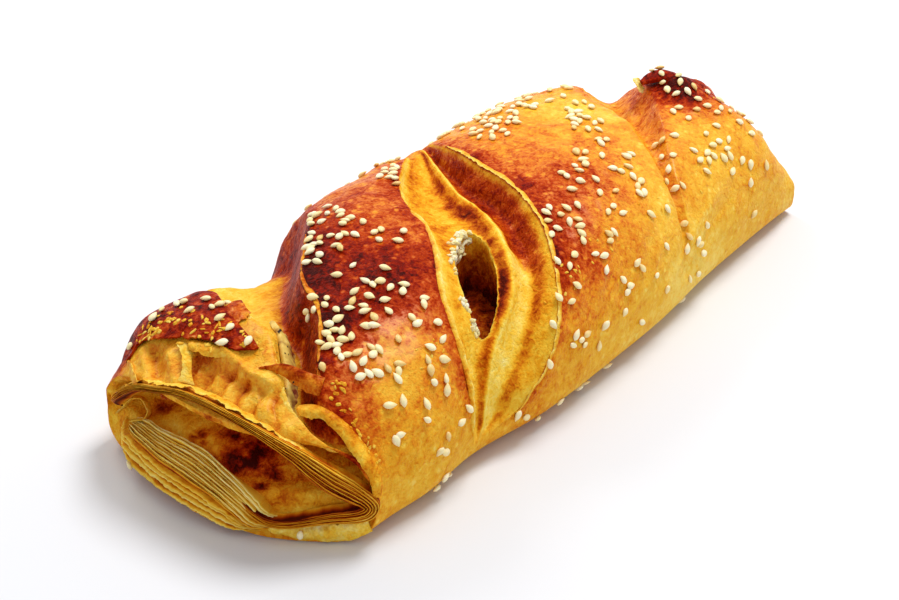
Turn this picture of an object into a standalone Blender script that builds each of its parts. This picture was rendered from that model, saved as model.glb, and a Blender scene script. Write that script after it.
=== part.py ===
"""A long puff pastry parcel with a cheese filling, three slashes and sesame seeds on top.

Metres, +Z up. The parcel lies along X on its flat underside, with its open near end at -X and the
middle of its box's bottom at the origin. A point of the skin is named by its x and its turn: the
angle round the section in degrees, 0 at the back (+Y), 90 at the top, 180 at the front (-Y).
"""
import math
import random

import bmesh
import bpy
import numpy as np
from mathutils import Matrix, Vector

MM = 0.001

# Skin: x, front y, back y, top z, and how square the top's front half and back half are
STATIONS = np.array([
    (-118.5, -40.0, 40.0, 27.0, 1.7, 1.4),
    (-110.0, -40.5, 41.0, 31.0, 1.8, 1.6),
    (-101.0, -41.0, 41.5, 36.0, 1.9, 2.3),
    (-93.0, -41.5, 42.0, 39.5, 2.0, 1.8),
    (-80.0, -43.0, 43.5, 42.0, 2.2, 1.5),
    (-60.0, -42.3, 45.0, 44.8, 2.3, 2.0),
    (-36.0, -45.8, 45.5, 46.0, 2.3, 2.3),
    (0.0, -46.3, 46.0, 45.5, 2.3, 2.3),
    (26.0, -45.6, 45.5, 45.0, 2.3, 2.3),
    (52.0, -43.0, 44.0, 44.5, 2.3, 2.2),
    (80.0, -41.5, 40.0, 43.0, 2.3, 1.9),
    (92.0, -41.0, 36.5, 42.0, 2.3, 1.7),
    (101.0, -40.4, 33.0, 36.5, 2.2, 1.6),
    (110.0, -39.6, 30.5, 25.5, 2.2, 1.6),
    (118.5, -38.6, 29.0, 12.0, 2.0, 1.7),
])
WAIST = 0.32            # height of the widest line, as a share of the top's height
SIDE_POWER = 2.7
FOOT_SIDE_POWER = 7.0
FOOT_POWER = 4.5
FLAT_BASE = 0.3         # how much of the underside's curve is pressed flat
UNDERSIDE = 0.4         # height of the pressed underside over the four-cornered pad that it rests on
PAD_SIZE = (190.0, 56.0)
PAD_TOP = 1.2
OUTLINE_STEPS = 1440    # steps along a section's outline when its turns are spaced evenly

# Ends: x of the rim at the front corner, the back corner, the middle of the top and of the bottom
NEAR_RIM = (-99.0, -106.5, -114.0, -117.5)
FAR_RIM = (112.5, 108.5, 113.0, 118.5)
RIM_FRONT_POWER = 2.1
RIM_BACK_POWER = 1.6
RECESS_POLE = 1.5       # how far the last point of an end's hollow lies past its last ring
# Each ring inside an end: step inwards, width left, height left over and under the lip's corner
NEAR_RECESS = ((-1.0, 0.95, 0.80, 0.18), (5.0, 0.88, 0.76, 0.10), (9.0, 0.66, 0.62, -0.12))
FAR_RECESS = ((0.8, 0.95, 0.70, 0.45), (2.6, 0.88, 0.60, 0.30), (4.2, 0.60, 0.40, 0.10))
CORNER_HEIGHT = {"near": 14.5, "far": 6.5}

# Slashes: turn, x of the left edge, x of the right edge, depth
SLASHES = (
    np.array([
        (-20, -50, -42, 0.0), (0, -55, -38, 2.0), (20, -64, -34, 8.0), (40, -77, -34, 12.0),
        (54, -82, -39, 13.5), (66, -86, -47, 13.0), (79, -87.5, -59, 12.0), (90, -90.5, -73.5, 11.0),
        (98, -97, -81, 11.0), (109, -103, -91.5, 9.0), (120, -105, -98, 6.0),
        (132, -104.5, -99.8, 3.0), (150, -100, -96, 0.6), (180, -95, -90, 0.0), (265, -80, -74, 0.0),
    ]),
    np.array([
        (-20, 9, 14, 0.0), (30, 14, 20, 0.0), (48, 9, 19, 1.0), (62, -3, 15, 5.0),
        (80, -21, 9, 7.0), (100, -38.5, -1, 7.0), (117, -50.5, -9, 7.0), (135, -57, -18, 6.5),
        (155, -60.5, -26.5, 5.5), (170, -61.5, -33, 4.0), (180, -62, -41, 2.2),
        (187, -61.5, -54, 0.4), (205, -58, -50, 0.0), (265, -26, -18, 0.0),
    ]),
    np.array([
        (-20, 86, 93, 0.0), (30, 95, 104, 0.5), (45, 90, 106, 4.0), (62, 80, 103, 8.5),
        (80, 69.5, 96.5, 9.5), (88, 64.2, 87, 8.8), (95, 59.5, 78, 7.5), (113, 49, 61, 5.0), (129, 42.5, 50, 3.5),
        (145, 38, 44, 2.2), (165, 34.5, 39.5, 0.8), (182, 33, 38, 0.0), (265, 50, 56, 0.0),
    ]),
)
# How deep each slash lies at each share of its width, as a share of its depth
SLASH_FLOORS = (
    ((0.0, 0.0), (0.2, 0.36), (0.4, 0.86), (0.52, 1.0), (0.74, 1.0), (0.9, 0.4), (1.0, 0.0)),
    ((0.0, 0.0), (0.05, 0.4), (0.12, 0.75), (0.28, 1.0), (0.45, 0.72), (0.6, 0.92), (0.72, 0.85),
     (0.87, 0.45), (1.0, 0.0)),
    ((0.0, 0.0), (0.25, 0.62), (0.5, 1.0), (0.75, 0.66), (1.0, 0.0)),
)
BAND_RISE = (0.4, 1.5, 1.6, 0.8)      # how far each band domes between its slashes
BAND_DOME_POWER = 0.7
BAND_COLUMNS = (4, 7, 9, 6)
ROWS = 44

# Cavity: x, half width, lowest z, highest z
CAVITY = ((-93, 9, 15, 23), (-88, 15, 12, 26), (-76, 19, 9.5, 28), (-58, 21, 9, 31), (-42, 25, 9, 35),
          (-20, 29, 9, 36), (15, 29, 9, 35.5), (45, 26, 9.5, 33), (60, 20, 12, 29), (66, 11, 16, 24))
CAVITY_POLE = 3.0
CAVITY_SIDES = 18
SQUARE_POWER = 0.8      # makes the sections of the cavity and the openings a little square
FILLING_GAP = 0.35

# Openings down to the filling: middle x and y, length, width, bearing from +X, bottom z
SLASH_VENT = (-83.5, -1.5, 25.0, 5.0, 43.0, 23.0)
HOLE = (-34.5, -23.0, 32.0, 10.0, 43.0, 21.0)
VENT_TOP = 58.0
VENT_SCALES = (0.72, 0.95, 1.1)        # size at the bottom, half way and top
VENT_POLE = 1.5
VENT_SIDES = 14

# Burnt tip that curls off the last band over the third slash: x, y, z, half width, half thickness
CURL = ((104, -7.0, 28.5, 8.0, 3.0), (102, -7.0, 34.6, 8.0, 3.0), (98.5, -6.5, 39.6, 7.5, 2.6),
        (94.5, -5.0, 43.2, 6.2, 2.3), (90, -3.2, 45.6, 4.2, 1.9), (86, -1.2, 45.9, 2.6, 1.3),
        (82.6, 0.6, 45.0, 1.3, 0.7))
CURL_SIDES = 8
CURL_AXIS = (0.25, 1.0, 0.0)           # the way that its width points
CURL_POINT = 0.3                       # length of its end point, as a share of its last step

# Seeds
SEED_SIZE = (3.1, 1.9, 1.1)
SEED_SINK = 0.48
SEED_SPACE = 3.6
SEED_TRIES = 6000
SEED_GROWTH = (0.9, 1.1)
SEED_CLEAR_OF_CURL = 11.0
SEED_COUNT = 150
SEED_SIDES = 6
SEED_RINGS = 3
# Where they lie: x, turn, reach along x, reach in turn, share of the seeds
SEED_PATCHES = ((-58, 95, 17, 22, 0.17), (-52, 70, 26, 26, 0.1), (-44, 135, 22, 22, 0.07),
                (-93, 68, 11, 14, 0.05), (20, 96, 26, 24, 0.2), (30, 62, 30, 24, 0.1),
                (12, 142, 30, 26, 0.13), (97, 104, 13, 22, 0.07), (82, 125, 24, 24, 0.07),
                (70, 62, 30, 20, 0.04))
SEED_TURNS = (22, 196)
SEED_EDGE = 2.2                        # clear strip beside a slash
SLASH_COUNTS_FROM = 0.3                # depth at which a slash keeps seeds away
SEED_CLEAR_OF_FAR_RIM = 3.0
SEED_CLEAR_OF_NEAR_RIM = 6.0
NEAR_SEED_TURNS = (45, 84)             # the dark strip of the first band, which alone has seeds


def smooth_table(at, keys, values, period=None):
    """A smooth curve through the rows of a table, read at each of the numbers in at."""
    keys, values = np.asarray(keys, float), np.asarray(values, float)
    if period:
        keys = np.concatenate([keys[-2:] - period, keys, keys[:2] + period])
        values = np.concatenate([values[-2:], values, values[:2]])
        at = (np.asarray(at, float) - keys[2]) % period + keys[2]
    slope = np.gradient(values, keys)
    at = np.clip(at, keys[0], keys[-1])
    row = np.clip(np.searchsorted(keys, at) - 1, 0, len(keys) - 2)
    span = keys[row + 1] - keys[row]
    t = (at - keys[row]) / span
    low, high = values[row], values[row + 1]
    bend = slope[row] * span * t * (1 - t) ** 2 - slope[row + 1] * span * t ** 2 * (1 - t)
    return low + (high - low) * t * t * (3 - 2 * t) + bend


def skin(x, turn):
    """Points of the plain skin and the directions out of it, in mm."""
    front, back, top, front_power, back_power = (
        smooth_table(x, STATIONS[:, 0], STATIONS[:, k]) for k in (1, 2, 3, 4, 5))
    side, up = np.cos(np.radians(turn)), np.sin(np.radians(turn))
    lift_power = np.where(up > 0, np.where(side > 0, back_power, front_power), FOOT_POWER)
    side_power = np.where(up > 0, SIDE_POWER, FOOT_SIDE_POWER)
    waist = WAIST * top
    reach = np.where(up > 0, top - waist, waist)
    half = (back - front) / 2
    across = np.sign(side) * np.abs(side) ** (2 / side_power)
    lift = np.sign(up) * np.abs(up) ** (2 / lift_power)
    z = waist + reach * lift
    z = np.where(up > 0, z, np.maximum(z - FLAT_BASE * np.abs(lift), UNDERSIDE))
    point = np.stack([x, (back + front) / 2 + half * across, z], -1)
    out = np.stack([0 * x, across * np.abs(across) ** (side_power - 2) / half,
                    lift * np.abs(lift) ** (lift_power - 2) / reach], -1)
    return point, out / np.linalg.norm(out, axis=-1, keepdims=True)


def rim(turn, ends):
    """x of an end's rim at each turn."""
    front, back, top, bottom = ends
    side, up = np.cos(np.radians(turn)), np.sin(np.radians(turn))
    corner = np.where(side < 0, front, back)
    middle = np.where(up > 0, top, bottom)
    reach = np.abs(side) ** (2 / np.where(up > 0, SIDE_POWER, FOOT_SIDE_POWER))
    return corner + (middle - corner) * (1 - reach ** np.where(side < 0, RIM_FRONT_POWER, RIM_BACK_POWER))


def slash_edges(turn):
    """x of every slash's left and right edge at each turn, and its depth there."""
    edges = []
    for rows in SLASHES:
        left, right, depth = (smooth_table(turn, rows[:, 0], rows[:, k], 360.0) for k in (1, 2, 3))
        edges.append((left, right, np.maximum(depth, 0.0)))
    return edges


def even_turns(count):
    """Turns that lie at even steps along the section's outline."""
    fine = np.linspace(-90, 270, OUTLINE_STEPS + 1)
    point, _ = skin(np.full(fine.shape, 0.0), fine)
    walk = np.concatenate([[0], np.cumsum(np.linalg.norm(np.diff(point, axis=0), axis=1))])
    return np.interp(np.arange(count) / count * walk[-1], walk, fine)


def surface(column, share, turn):
    """Points at a share of a column's width: columns are bands and slashes by turns, from -X to +X."""
    edges = slash_edges(turn)
    walls = [rim(turn, NEAR_RIM)]
    for left, right, _ in edges:
        walls += [left, right]
    walls.append(rim(turn, FAR_RIM))
    point, out = skin(walls[column] + (walls[column + 1] - walls[column]) * share, turn)
    if column % 2:
        floor = SLASH_FLOORS[column // 2]
        sink = np.interp(share, *zip(*floor)) * edges[column // 2][2]
        return point - out * sink[:, None]
    rise = BAND_RISE[column // 2] * math.sin(math.pi * share) ** BAND_DOME_POWER
    return point + out * (rise * np.clip(np.sin(np.radians(turn)), 0, 1))[:, None]


def recess_rings(ring, steps, corner, inward):
    """Rings that go from an end's rim into its hollow."""
    rings = []
    middle = ring[:, 1].mean()
    for step, width, over, under in steps:
        height = ring[:, 2] - corner
        z = corner + height * np.where(height > 0, over, under)
        rings.append(np.stack([ring[:, 0] + inward * step, middle + (ring[:, 1] - middle) * width, z], -1))
    pole = rings[-1].mean(axis=0) + np.array([inward * RECESS_POLE, 0, 0])
    return rings, pole


def loft(name, rings, start, end, collection):
    """A closed body through rings of equal count, with a point at each end."""
    count = len(rings[0])
    points = [start] + [p for ring in rings for p in ring] + [end]
    last = len(points) - 1
    faces = []
    for k in range(count):
        after = (k + 1) % count
        faces.append((0, 1 + after, 1 + k))
        faces.append((last, last - count + k, last - count + after))
        for row in range(len(rings) - 1):
            low = 1 + row * count
            faces.append((low + k, low + after, low + count + after, low + count + k))
    mesh = bpy.data.meshes.new(name)
    mesh.from_pydata([Vector(p) * MM for p in points], [], faces)
    shell = bmesh.new()
    shell.from_mesh(mesh)
    bmesh.ops.recalc_face_normals(shell, faces=shell.faces)
    shell.to_mesh(mesh)
    shell.free()
    part = bpy.data.objects.new(name, mesh)
    collection.objects.link(part)
    return part


def make_skin(collection):
    """The outer body with its slash valleys and both end hollows."""
    turns = even_turns(ROWS)
    rings = []
    for band, count in enumerate(BAND_COLUMNS):
        rings += [surface(2 * band, k / count, turns) for k in range(count)]
        if band < len(SLASHES):
            rings += [surface(2 * band + 1, share, turns) for share, _ in SLASH_FLOORS[band][:-1]]
    rings.append(surface(2 * len(SLASHES), 1.0, turns))
    near, near_pole = recess_rings(rings[0], NEAR_RECESS, CORNER_HEIGHT["near"], 1)
    far, far_pole = recess_rings(rings[-1], FAR_RECESS, CORNER_HEIGHT["far"], -1)
    return loft("pastry", near[::-1] + rings + far, near_pole, far_pole, collection)


def squared(angles):
    """The sine of each angle, drawn out towards a square."""
    return np.sign(np.sin(angles)) * np.abs(np.sin(angles)) ** SQUARE_POWER


def make_pad(collection):
    """The four-cornered face that the parcel rests on, as a low block under the middle."""
    mesh = bpy.data.meshes.new("pad")
    block = bmesh.new()
    bmesh.ops.create_cube(block, size=1.0, matrix=Matrix.Diagonal((*PAD_SIZE, PAD_TOP, 1)))
    block.transform(Matrix.Translation((0, 0, PAD_TOP / 2)))
    block.transform(Matrix.Scale(MM, 4))
    block.to_mesh(mesh)
    block.free()
    collection.objects.link(bpy.data.objects.new("pad", mesh))


def make_core(name, inset, collection):
    """A tube through the middle of the pastry, made smaller by inset all round."""
    angles = np.arange(CAVITY_SIDES) * 2 * math.pi / CAVITY_SIDES
    rings = []
    for x, half, low, high in CAVITY:
        reach, lift = half - inset, (high - low) / 2 - inset
        y = reach * np.cos(angles)
        z = (high + low) / 2 + lift * squared(angles)
        rings.append(np.stack([np.full(CAVITY_SIDES, float(x)), y, z], -1))
    rings[0][:, 0] += inset
    rings[-1][:, 0] -= inset
    start = rings[0].mean(axis=0) - np.array([CAVITY_POLE, 0, 0])
    end = rings[-1].mean(axis=0) + np.array([CAVITY_POLE, 0, 0])
    return loft(name, rings, start, end, collection)


def make_vent(name, vent, grow, collection):
    """An upright pit that narrows downwards, grown all round by grow."""
    x, y, length, width, bearing, bottom = vent
    angles = np.arange(VENT_SIDES) * 2 * math.pi / VENT_SIDES
    turn = math.radians(bearing)
    rings = []
    for z, scale in zip((bottom - grow, (bottom + VENT_TOP) / 2, VENT_TOP), VENT_SCALES):
        along = (length / 2 * scale + grow) * np.cos(angles)
        across = (width / 2 * scale + grow) * squared(angles)
        rings.append(np.stack([x + along * math.cos(turn) - across * math.sin(turn),
                               y + along * math.sin(turn) + across * math.cos(turn),
                               np.full(VENT_SIDES, z)], -1))
    start = rings[0].mean(axis=0) - np.array([0, 0, VENT_POLE])
    end = rings[-1].mean(axis=0) + np.array([0, 0, VENT_POLE])
    return loft(name, rings, start, end, collection)


def make_curl(collection):
    """The burnt tip as a tongue that rises from the last band and bends over the third slash."""
    angles = np.arange(CURL_SIDES) * 2 * math.pi / CURL_SIDES
    rows = np.array(CURL, float)
    along = np.gradient(rows[:, :3], axis=0)
    rings = []
    for (x, y, z, half, thick), way in zip(rows, along):
        way = Vector(way).normalized()
        across = Vector(CURL_AXIS).cross(way).cross(way).normalized()
        over = way.cross(across).normalized()
        rings.append([Vector((x, y, z)) + across * (half * math.cos(a)) + over * (thick * math.sin(a))
                      for a in angles])
    return loft("curl", rings, rows[0, :3], rows[-1, :3] + along[-1] * CURL_POINT, collection)


def clear_of_slashes(x, turn):
    """Whether a place lies on a band and not in a slash, at its edge, or on the bare near end."""
    turn = np.array([float(turn)])
    edges = slash_edges(turn)
    for left, right, depth in edges:
        if depth[0] > SLASH_COUNTS_FROM and left[0] - SEED_EDGE < x < right[0] + SEED_EDGE:
            return False
    if x > rim(turn, FAR_RIM)[0] - SEED_CLEAR_OF_FAR_RIM:
        return False
    if x < edges[0][0][0]:
        on_strip = NEAR_SEED_TURNS[0] < turn[0] < NEAR_SEED_TURNS[1]
        return on_strip and x > rim(turn, NEAR_RIM)[0] + SEED_CLEAR_OF_NEAR_RIM
    return True


def band_point(x, turn):
    """The point of the skin at x and turn, on its domed band, and the direction out of it."""
    turns = np.array([float(turn)])
    walls = [rim(turns, NEAR_RIM)[0]]
    for left, right, _ in slash_edges(turns):
        walls += [left[0], right[0]]
    walls.append(rim(turns, FAR_RIM)[0])
    column = int(np.clip(np.searchsorted(walls, x) - 1, 0, len(walls) - 2))
    share = (x - walls[column]) / (walls[column + 1] - walls[column])
    _, out = skin(np.array([float(x)]), turns)
    return surface(column, share, turns)[0], out[0]


def make_seeds(collection):
    """Sesame seeds laid on the bands, half sunk, none closer than the set space."""
    draw = random.Random(7)
    shares = [patch[4] for patch in SEED_PATCHES]
    placed = []
    for _ in range(SEED_TRIES):
        x0, turn0, reach_x, reach_turn, _ = draw.choices(SEED_PATCHES, shares)[0]
        x = draw.gauss(x0, reach_x / 2)
        turn = draw.gauss(turn0, reach_turn / 2)
        bearing = draw.uniform(0, math.pi)
        size = draw.uniform(*SEED_GROWTH)
        if not SEED_TURNS[0] < turn < SEED_TURNS[1] or not clear_of_slashes(x, turn):
            continue
        place, out = band_point(x, turn)
        if any((place - other).dot(place - other) < SEED_SPACE ** 2 for other in placed):
            continue
        if np.linalg.norm(place - np.array(CURL[2][:3])) < SEED_CLEAR_OF_CURL:
            continue
        placed.append(place)
        shell = bmesh.new()
        bmesh.ops.create_uvsphere(shell, u_segments=SEED_SIDES, v_segments=SEED_RINGS, radius=0.5)
        lie = Vector(out).to_track_quat("Z", "Y").to_matrix().to_4x4()
        grow = Matrix.Diagonal((*(side * size * MM for side in SEED_SIZE), 1))
        spin = Matrix.Rotation(bearing, 4, "Z") @ grow @ Matrix.Rotation(math.pi / 2, 4, "Y")
        centre = Vector(place + out * (SEED_SIZE[2] / 2 - SEED_SINK)) * MM
        shell.transform(Matrix.Translation(centre) @ lie @ spin)
        mesh = bpy.data.meshes.new("seed")
        shell.to_mesh(mesh)
        shell.free()
        collection.objects.link(bpy.data.objects.new("seed", mesh))
        if len(placed) == SEED_COUNT:
            break


def cut_or_join(part, operation, other=None, group=None):
    """One exact Boolean with an object or a whole collection, applied to the part's mesh."""
    boolean = part.modifiers.new(operation.lower(), "BOOLEAN")
    boolean.operation = operation
    boolean.solver = "EXACT"
    if group:
        boolean.operand_type = "COLLECTION"
        boolean.collection = group
    else:
        boolean.object = other
    mesh = bpy.data.meshes.new_from_object(part.evaluated_get(bpy.context.evaluated_depsgraph_get()))
    part.modifiers.clear()
    part.data = mesh


def drop_scraps(part):
    """Keep the largest connected body of a mesh."""
    shell = bmesh.new()
    shell.from_mesh(part.data)
    left = set(shell.verts)
    bodies = []
    while left:
        queue = [left.pop()]
        body = set(queue)
        while queue:
            for edge in queue.pop().link_edges:
                for vert in edge.verts:
                    if vert in left:
                        left.remove(vert)
                        body.add(vert)
                        queue.append(vert)
        bodies.append(body)
    bodies.sort(key=len)
    for body in bodies[:-1]:
        bmesh.ops.delete(shell, geom=list(body), context="VERTS")
    shell.to_mesh(part.data)
    shell.free()


def finish(part, material_name, color, roughness):
    """Give a part its own plain material."""
    material = bpy.data.materials.new(material_name)
    material.use_nodes = True
    shader = material.node_tree.nodes["Principled BSDF"]
    shader.inputs["Base Color"].default_value = (*color, 1)
    shader.inputs["Roughness"].default_value = roughness
    shader.inputs["Metallic"].default_value = 0.0
    part.data.materials.clear()
    part.data.materials.append(material)
    part.data.shade_smooth()
    part.data.set_sharp_from_angle(angle=math.radians(50))


def new_collection(name):
    collection = bpy.data.collections.new(name)
    bpy.context.scene.collection.children.link(collection)
    return collection


def main():
    for old in list(bpy.data.objects):
        bpy.data.objects.remove(old, do_unlink=True)
    parcel = new_collection("cheese_pastry_parcel")
    cutters = new_collection("cutters")
    loose = new_collection("joined_pieces")

    pastry = make_skin(parcel)
    filling = make_core("cheese_filling", FILLING_GAP, parcel)
    cavity = make_core("cavity", 0.0, cutters)
    vent = make_vent("slash_vent", SLASH_VENT, 0.0, cutters)
    hole = make_vent("hole", HOLE, 0.0, cutters)
    hollow = make_vent("hole_in_filling", HOLE, FILLING_GAP, cutters)
    for cutter in cutters.objects:
        cutter.hide_render = True
        cutter.display_type = "WIRE"

    make_curl(loose)
    make_pad(loose)
    cut_or_join(pastry, "UNION", group=loose)
    for cutter in (cavity, vent, hole):
        cut_or_join(pastry, "DIFFERENCE", other=cutter)
    cut_or_join(filling, "DIFFERENCE", other=hollow)
    for piece in list(loose.objects):
        bpy.data.objects.remove(piece, do_unlink=True)
    make_seeds(loose)
    cut_or_join(pastry, "UNION", group=loose)
    for piece in list(loose.objects):
        bpy.data.objects.remove(piece, do_unlink=True)
    bpy.data.collections.remove(loose)
    drop_scraps(pastry)
    drop_scraps(filling)
    finish(pastry, "baked_crust", (0.62, 0.27, 0.06), 0.42)
    finish(filling, "white_cheese", (0.93, 0.88, 0.72), 0.6)


main()
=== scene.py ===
"""A long puff pastry parcel, dressed: baked crust, layered open end, torn slashes, cheese and sesame seeds.

Tables and helpers are in millimetres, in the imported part's frame. A place on the skin is named by its x
and its turn: the angle round the section in degrees, 0 at the back (+Y), 90 at the top, 180 at the front.
"""

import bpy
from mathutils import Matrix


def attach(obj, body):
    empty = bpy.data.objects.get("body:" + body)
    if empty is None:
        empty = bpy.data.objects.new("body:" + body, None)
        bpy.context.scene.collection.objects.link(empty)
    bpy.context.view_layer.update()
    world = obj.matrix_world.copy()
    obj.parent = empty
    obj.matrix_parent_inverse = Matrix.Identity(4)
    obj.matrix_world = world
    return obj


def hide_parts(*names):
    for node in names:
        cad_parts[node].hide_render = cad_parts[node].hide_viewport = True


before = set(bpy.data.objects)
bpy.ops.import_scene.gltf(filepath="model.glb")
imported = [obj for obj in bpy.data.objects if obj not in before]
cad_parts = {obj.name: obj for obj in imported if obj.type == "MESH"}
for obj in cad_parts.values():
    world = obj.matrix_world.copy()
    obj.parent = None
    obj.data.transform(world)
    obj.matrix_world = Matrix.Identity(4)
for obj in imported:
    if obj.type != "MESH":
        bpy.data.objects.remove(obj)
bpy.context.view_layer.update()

import itertools
import math
import random

import bmesh
import bpy
import numpy as np
from mathutils import Vector

MM = 0.001

# Skin: x, front y, back y, top z, and how square the top's front half and back half are
STATIONS = np.array([
    (-118.5, -40.0, 40.0, 27.0, 1.7, 1.4),
    (-110.0, -40.5, 41.0, 31.0, 1.8, 1.6),
    (-101.0, -41.0, 41.5, 36.0, 1.9, 2.3),
    (-93.0, -41.5, 42.0, 39.5, 2.0, 1.8),
    (-80.0, -43.0, 43.5, 42.0, 2.2, 1.5),
    (-60.0, -42.3, 45.0, 44.8, 2.3, 2.0),
    (-36.0, -45.8, 45.5, 46.0, 2.3, 2.3),
    (0.0, -46.3, 46.0, 45.5, 2.3, 2.3),
    (26.0, -45.6, 45.5, 45.0, 2.3, 2.3),
    (52.0, -43.0, 44.0, 44.5, 2.3, 2.2),
    (80.0, -41.5, 40.0, 43.0, 2.3, 1.9),
    (92.0, -41.0, 36.5, 42.0, 2.3, 1.7),
    (101.0, -40.4, 33.0, 36.5, 2.2, 1.6),
    (110.0, -39.6, 30.5, 25.5, 2.2, 1.6),
    (118.5, -38.6, 29.0, 12.0, 2.0, 1.7),
])
# Height of the widest place as a share of the top's, and powers of the section's curve over and under it
WAIST = 0.32
SIDE_POWER = 2.7
FOOT_SIDE_POWER = 7.0
FOOT_POWER = 4.5
# How far the base is pressed down, and the height that it keeps off the floor
FLAT_BASE = 0.3
UNDERSIDE = 0.4

# Ends: x of the rim at the front corner, the back corner, the middle of the top and of the bottom
NEAR_RIM = (-99.0, -106.5, -114.0, -117.5)
FAR_RIM = (112.5, 108.5, 113.0, 118.5)
# Powers of the rims' curve in plan
RIM_FRONT_POWER = 2.1
RIM_BACK_POWER = 1.6
# Each ring inside an end: step inwards over and under the lip's corner, share of the width that is left,
# and share of the height over and under that corner that is left
NEAR_RECESS = ((0.8, 2.6, 0.96, 0.86, 0.24), (5.0, 6.0, 0.88, 0.76, 0.10), (9.0, 9.0, 0.66, 0.62, -0.12))
FAR_RECESS = ((0.8, 0.8, 0.95, 0.70, 0.45), (2.6, 2.6, 0.88, 0.60, 0.30), (4.2, 4.2, 0.60, 0.40, 0.10))
# Height of the lip's corner at each end, and how far over and under it the steps blend
NEAR_CORNER, FAR_CORNER = 14.5, 6.5
CORNER_BLEND = 4
# How far the middle of the last ring lies further in, and how small the ring round it is
RECESS_POLE, POLE_RING = 1.5, 0.04

# Slashes: turn, x of the left edge, x of the right edge, depth
SLASHES = (
    np.array([
        (-20, -50, -42, 0.0), (0, -55, -38, 2.0), (20, -64, -34, 8.0), (40, -77, -34, 12.0),
        (54, -82, -39, 13.5), (66, -86, -47, 13.0), (79, -87.5, -59, 12.0), (90, -90.5, -73.5, 11.0),
        (98, -97, -81, 11.0), (109, -103, -91.5, 9.0), (120, -105, -98, 6.0),
        (132, -104.5, -99.8, 3.0), (150, -100, -96, 0.6), (180, -95, -90, 0.0), (265, -80, -74, 0.0),
    ]),
    np.array([
        (-20, 9, 14, 0.0), (30, 14, 20, 0.0), (48, 9, 19, 1.0), (62, -3, 15, 5.0),
        (80, -21, 9, 7.0), (100, -38.5, -1, 7.0), (117, -50.5, -9, 7.0), (135, -57, -18, 6.5),
        (155, -60.5, -26.5, 5.5), (170, -61.5, -33, 4.0), (180, -62, -41, 2.2),
        (187, -61.5, -54, 0.4), (205, -58, -50, 0.0), (265, -26, -18, 0.0),
    ]),
    np.array([
        (-20, 86, 93, 0.0), (30, 95, 104, 0.5), (45, 90, 106, 4.0), (62, 80, 103, 8.5),
        (80, 69.5, 96.5, 9.5), (88, 64.2, 87, 8.8), (95, 59.5, 78, 7.5), (113, 49, 61, 5.0),
        (129, 42.5, 50, 3.5), (145, 38, 44, 2.2), (165, 34.5, 39.5, 0.8), (182, 33, 38, 0.0),
        (265, 50, 56, 0.0),
    ]),
)
# How deep each slash lies at each share of its width, as a share of its depth
SLASH_FLOORS = (
    ((0.0, 0.0), (0.12, 0.30), (0.3, 0.86), (0.45, 1.0), (0.66, 1.05), (0.84, 0.55), (0.94, 0.2),
     (1.0, 0.0)),
    ((0.0, 0.0), (0.03, 0.30), (0.10, 0.58), (0.24, 0.84), (0.42, 1.05), (0.58, 1.0), (0.66, 0.74),
     (0.70, 0.64), (0.735, 0.78), (0.80, 1.02), (0.855, 0.98), (0.90, 0.64), (0.96, 0.26), (1.0, 0.0)),
    ((0.0, 0.0), (0.25, 0.62), (0.5, 1.0), (0.75, 0.66), (1.0, 0.0)),
)
# Middle slash: where its ridge and its inner wall lie at each turn, as shares of its width
MIDDLE_LINES = np.array([
    (60, 0.70, 0.86), (98, 0.67, 0.87), (115, 0.665, 0.87), (124, 0.645, 0.865), (130, 0.63, 0.86),
    (138, 0.57, 0.84), (147, 0.46, 0.80), (157, 0.36, 0.73), (169, 0.30, 0.64), (178, 0.28, 0.52),
    (200, 0.28, 0.52),
])
# Where the same two lie in its table of depths
MIDDLE_KEYS = (0.70, 0.86)
# How far each band swells over the skin
BAND_RISE = (0.4, 1.5, 1.6, 0.8)
BAND_DOME_POWER = 0.7

# Crust mesh: rings of each band and slash, rings in each end's hollow, and steps round the section
BAND_RINGS = (40, 60, 76, 52)
SLASH_RINGS = (36, 56, 30)
COLUMNS = len(BAND_RINGS) + len(SLASH_RINGS)
NEAR_RINGS, FAR_RINGS = 34, 12
ROW_STEP, UNDER_STEP = 0.85, 3.2
# First and last turn of what isn't underneath, and how finely the section is measured
UNDER_TURNS = (-28, 208)
FINE_TURNS = 1441


def srgb(red, green, blue):
    """A display colour, 0 to 255, as the linear colour that shaders take."""
    return tuple((c / 255 / 12.92 if c < 11 else ((c / 255 + 0.055) / 1.055) ** 2.4)
                 for c in (red, green, blue)) + (1.0,)


# Form of the parcel

# Brings the lumps' greatest height near 1
LUMP_SCALE = 1.6


def smooth_table(at, keys, values, period=None):
    """A smooth curve through the rows of a table, read at each of the numbers in at."""
    keys, values = np.asarray(keys, float), np.asarray(values, float)
    if period:
        keys = np.concatenate([keys[-2:] - period, keys, keys[:2] + period])
        values = np.concatenate([values[-2:], values, values[:2]])
        at = (np.asarray(at, float) - keys[2]) % period + keys[2]
    slope = np.gradient(values, keys, axis=0)
    at = np.clip(at, keys[0], keys[-1])
    row = np.clip(np.searchsorted(keys, at) - 1, 0, len(keys) - 2)
    span = keys[row + 1] - keys[row]
    t = (at - keys[row]) / span
    if values.ndim > 1:
        extra = (1,) * (values.ndim - 1)
        span, t = span.reshape(span.shape + extra), t.reshape(t.shape + extra)
    low, high = values[row], values[row + 1]
    bend = slope[row] * span * t * (1 - t) ** 2 - slope[row + 1] * span * t ** 2 * (1 - t)
    return low + (high - low) * t * t * (3 - 2 * t) + bend


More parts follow.
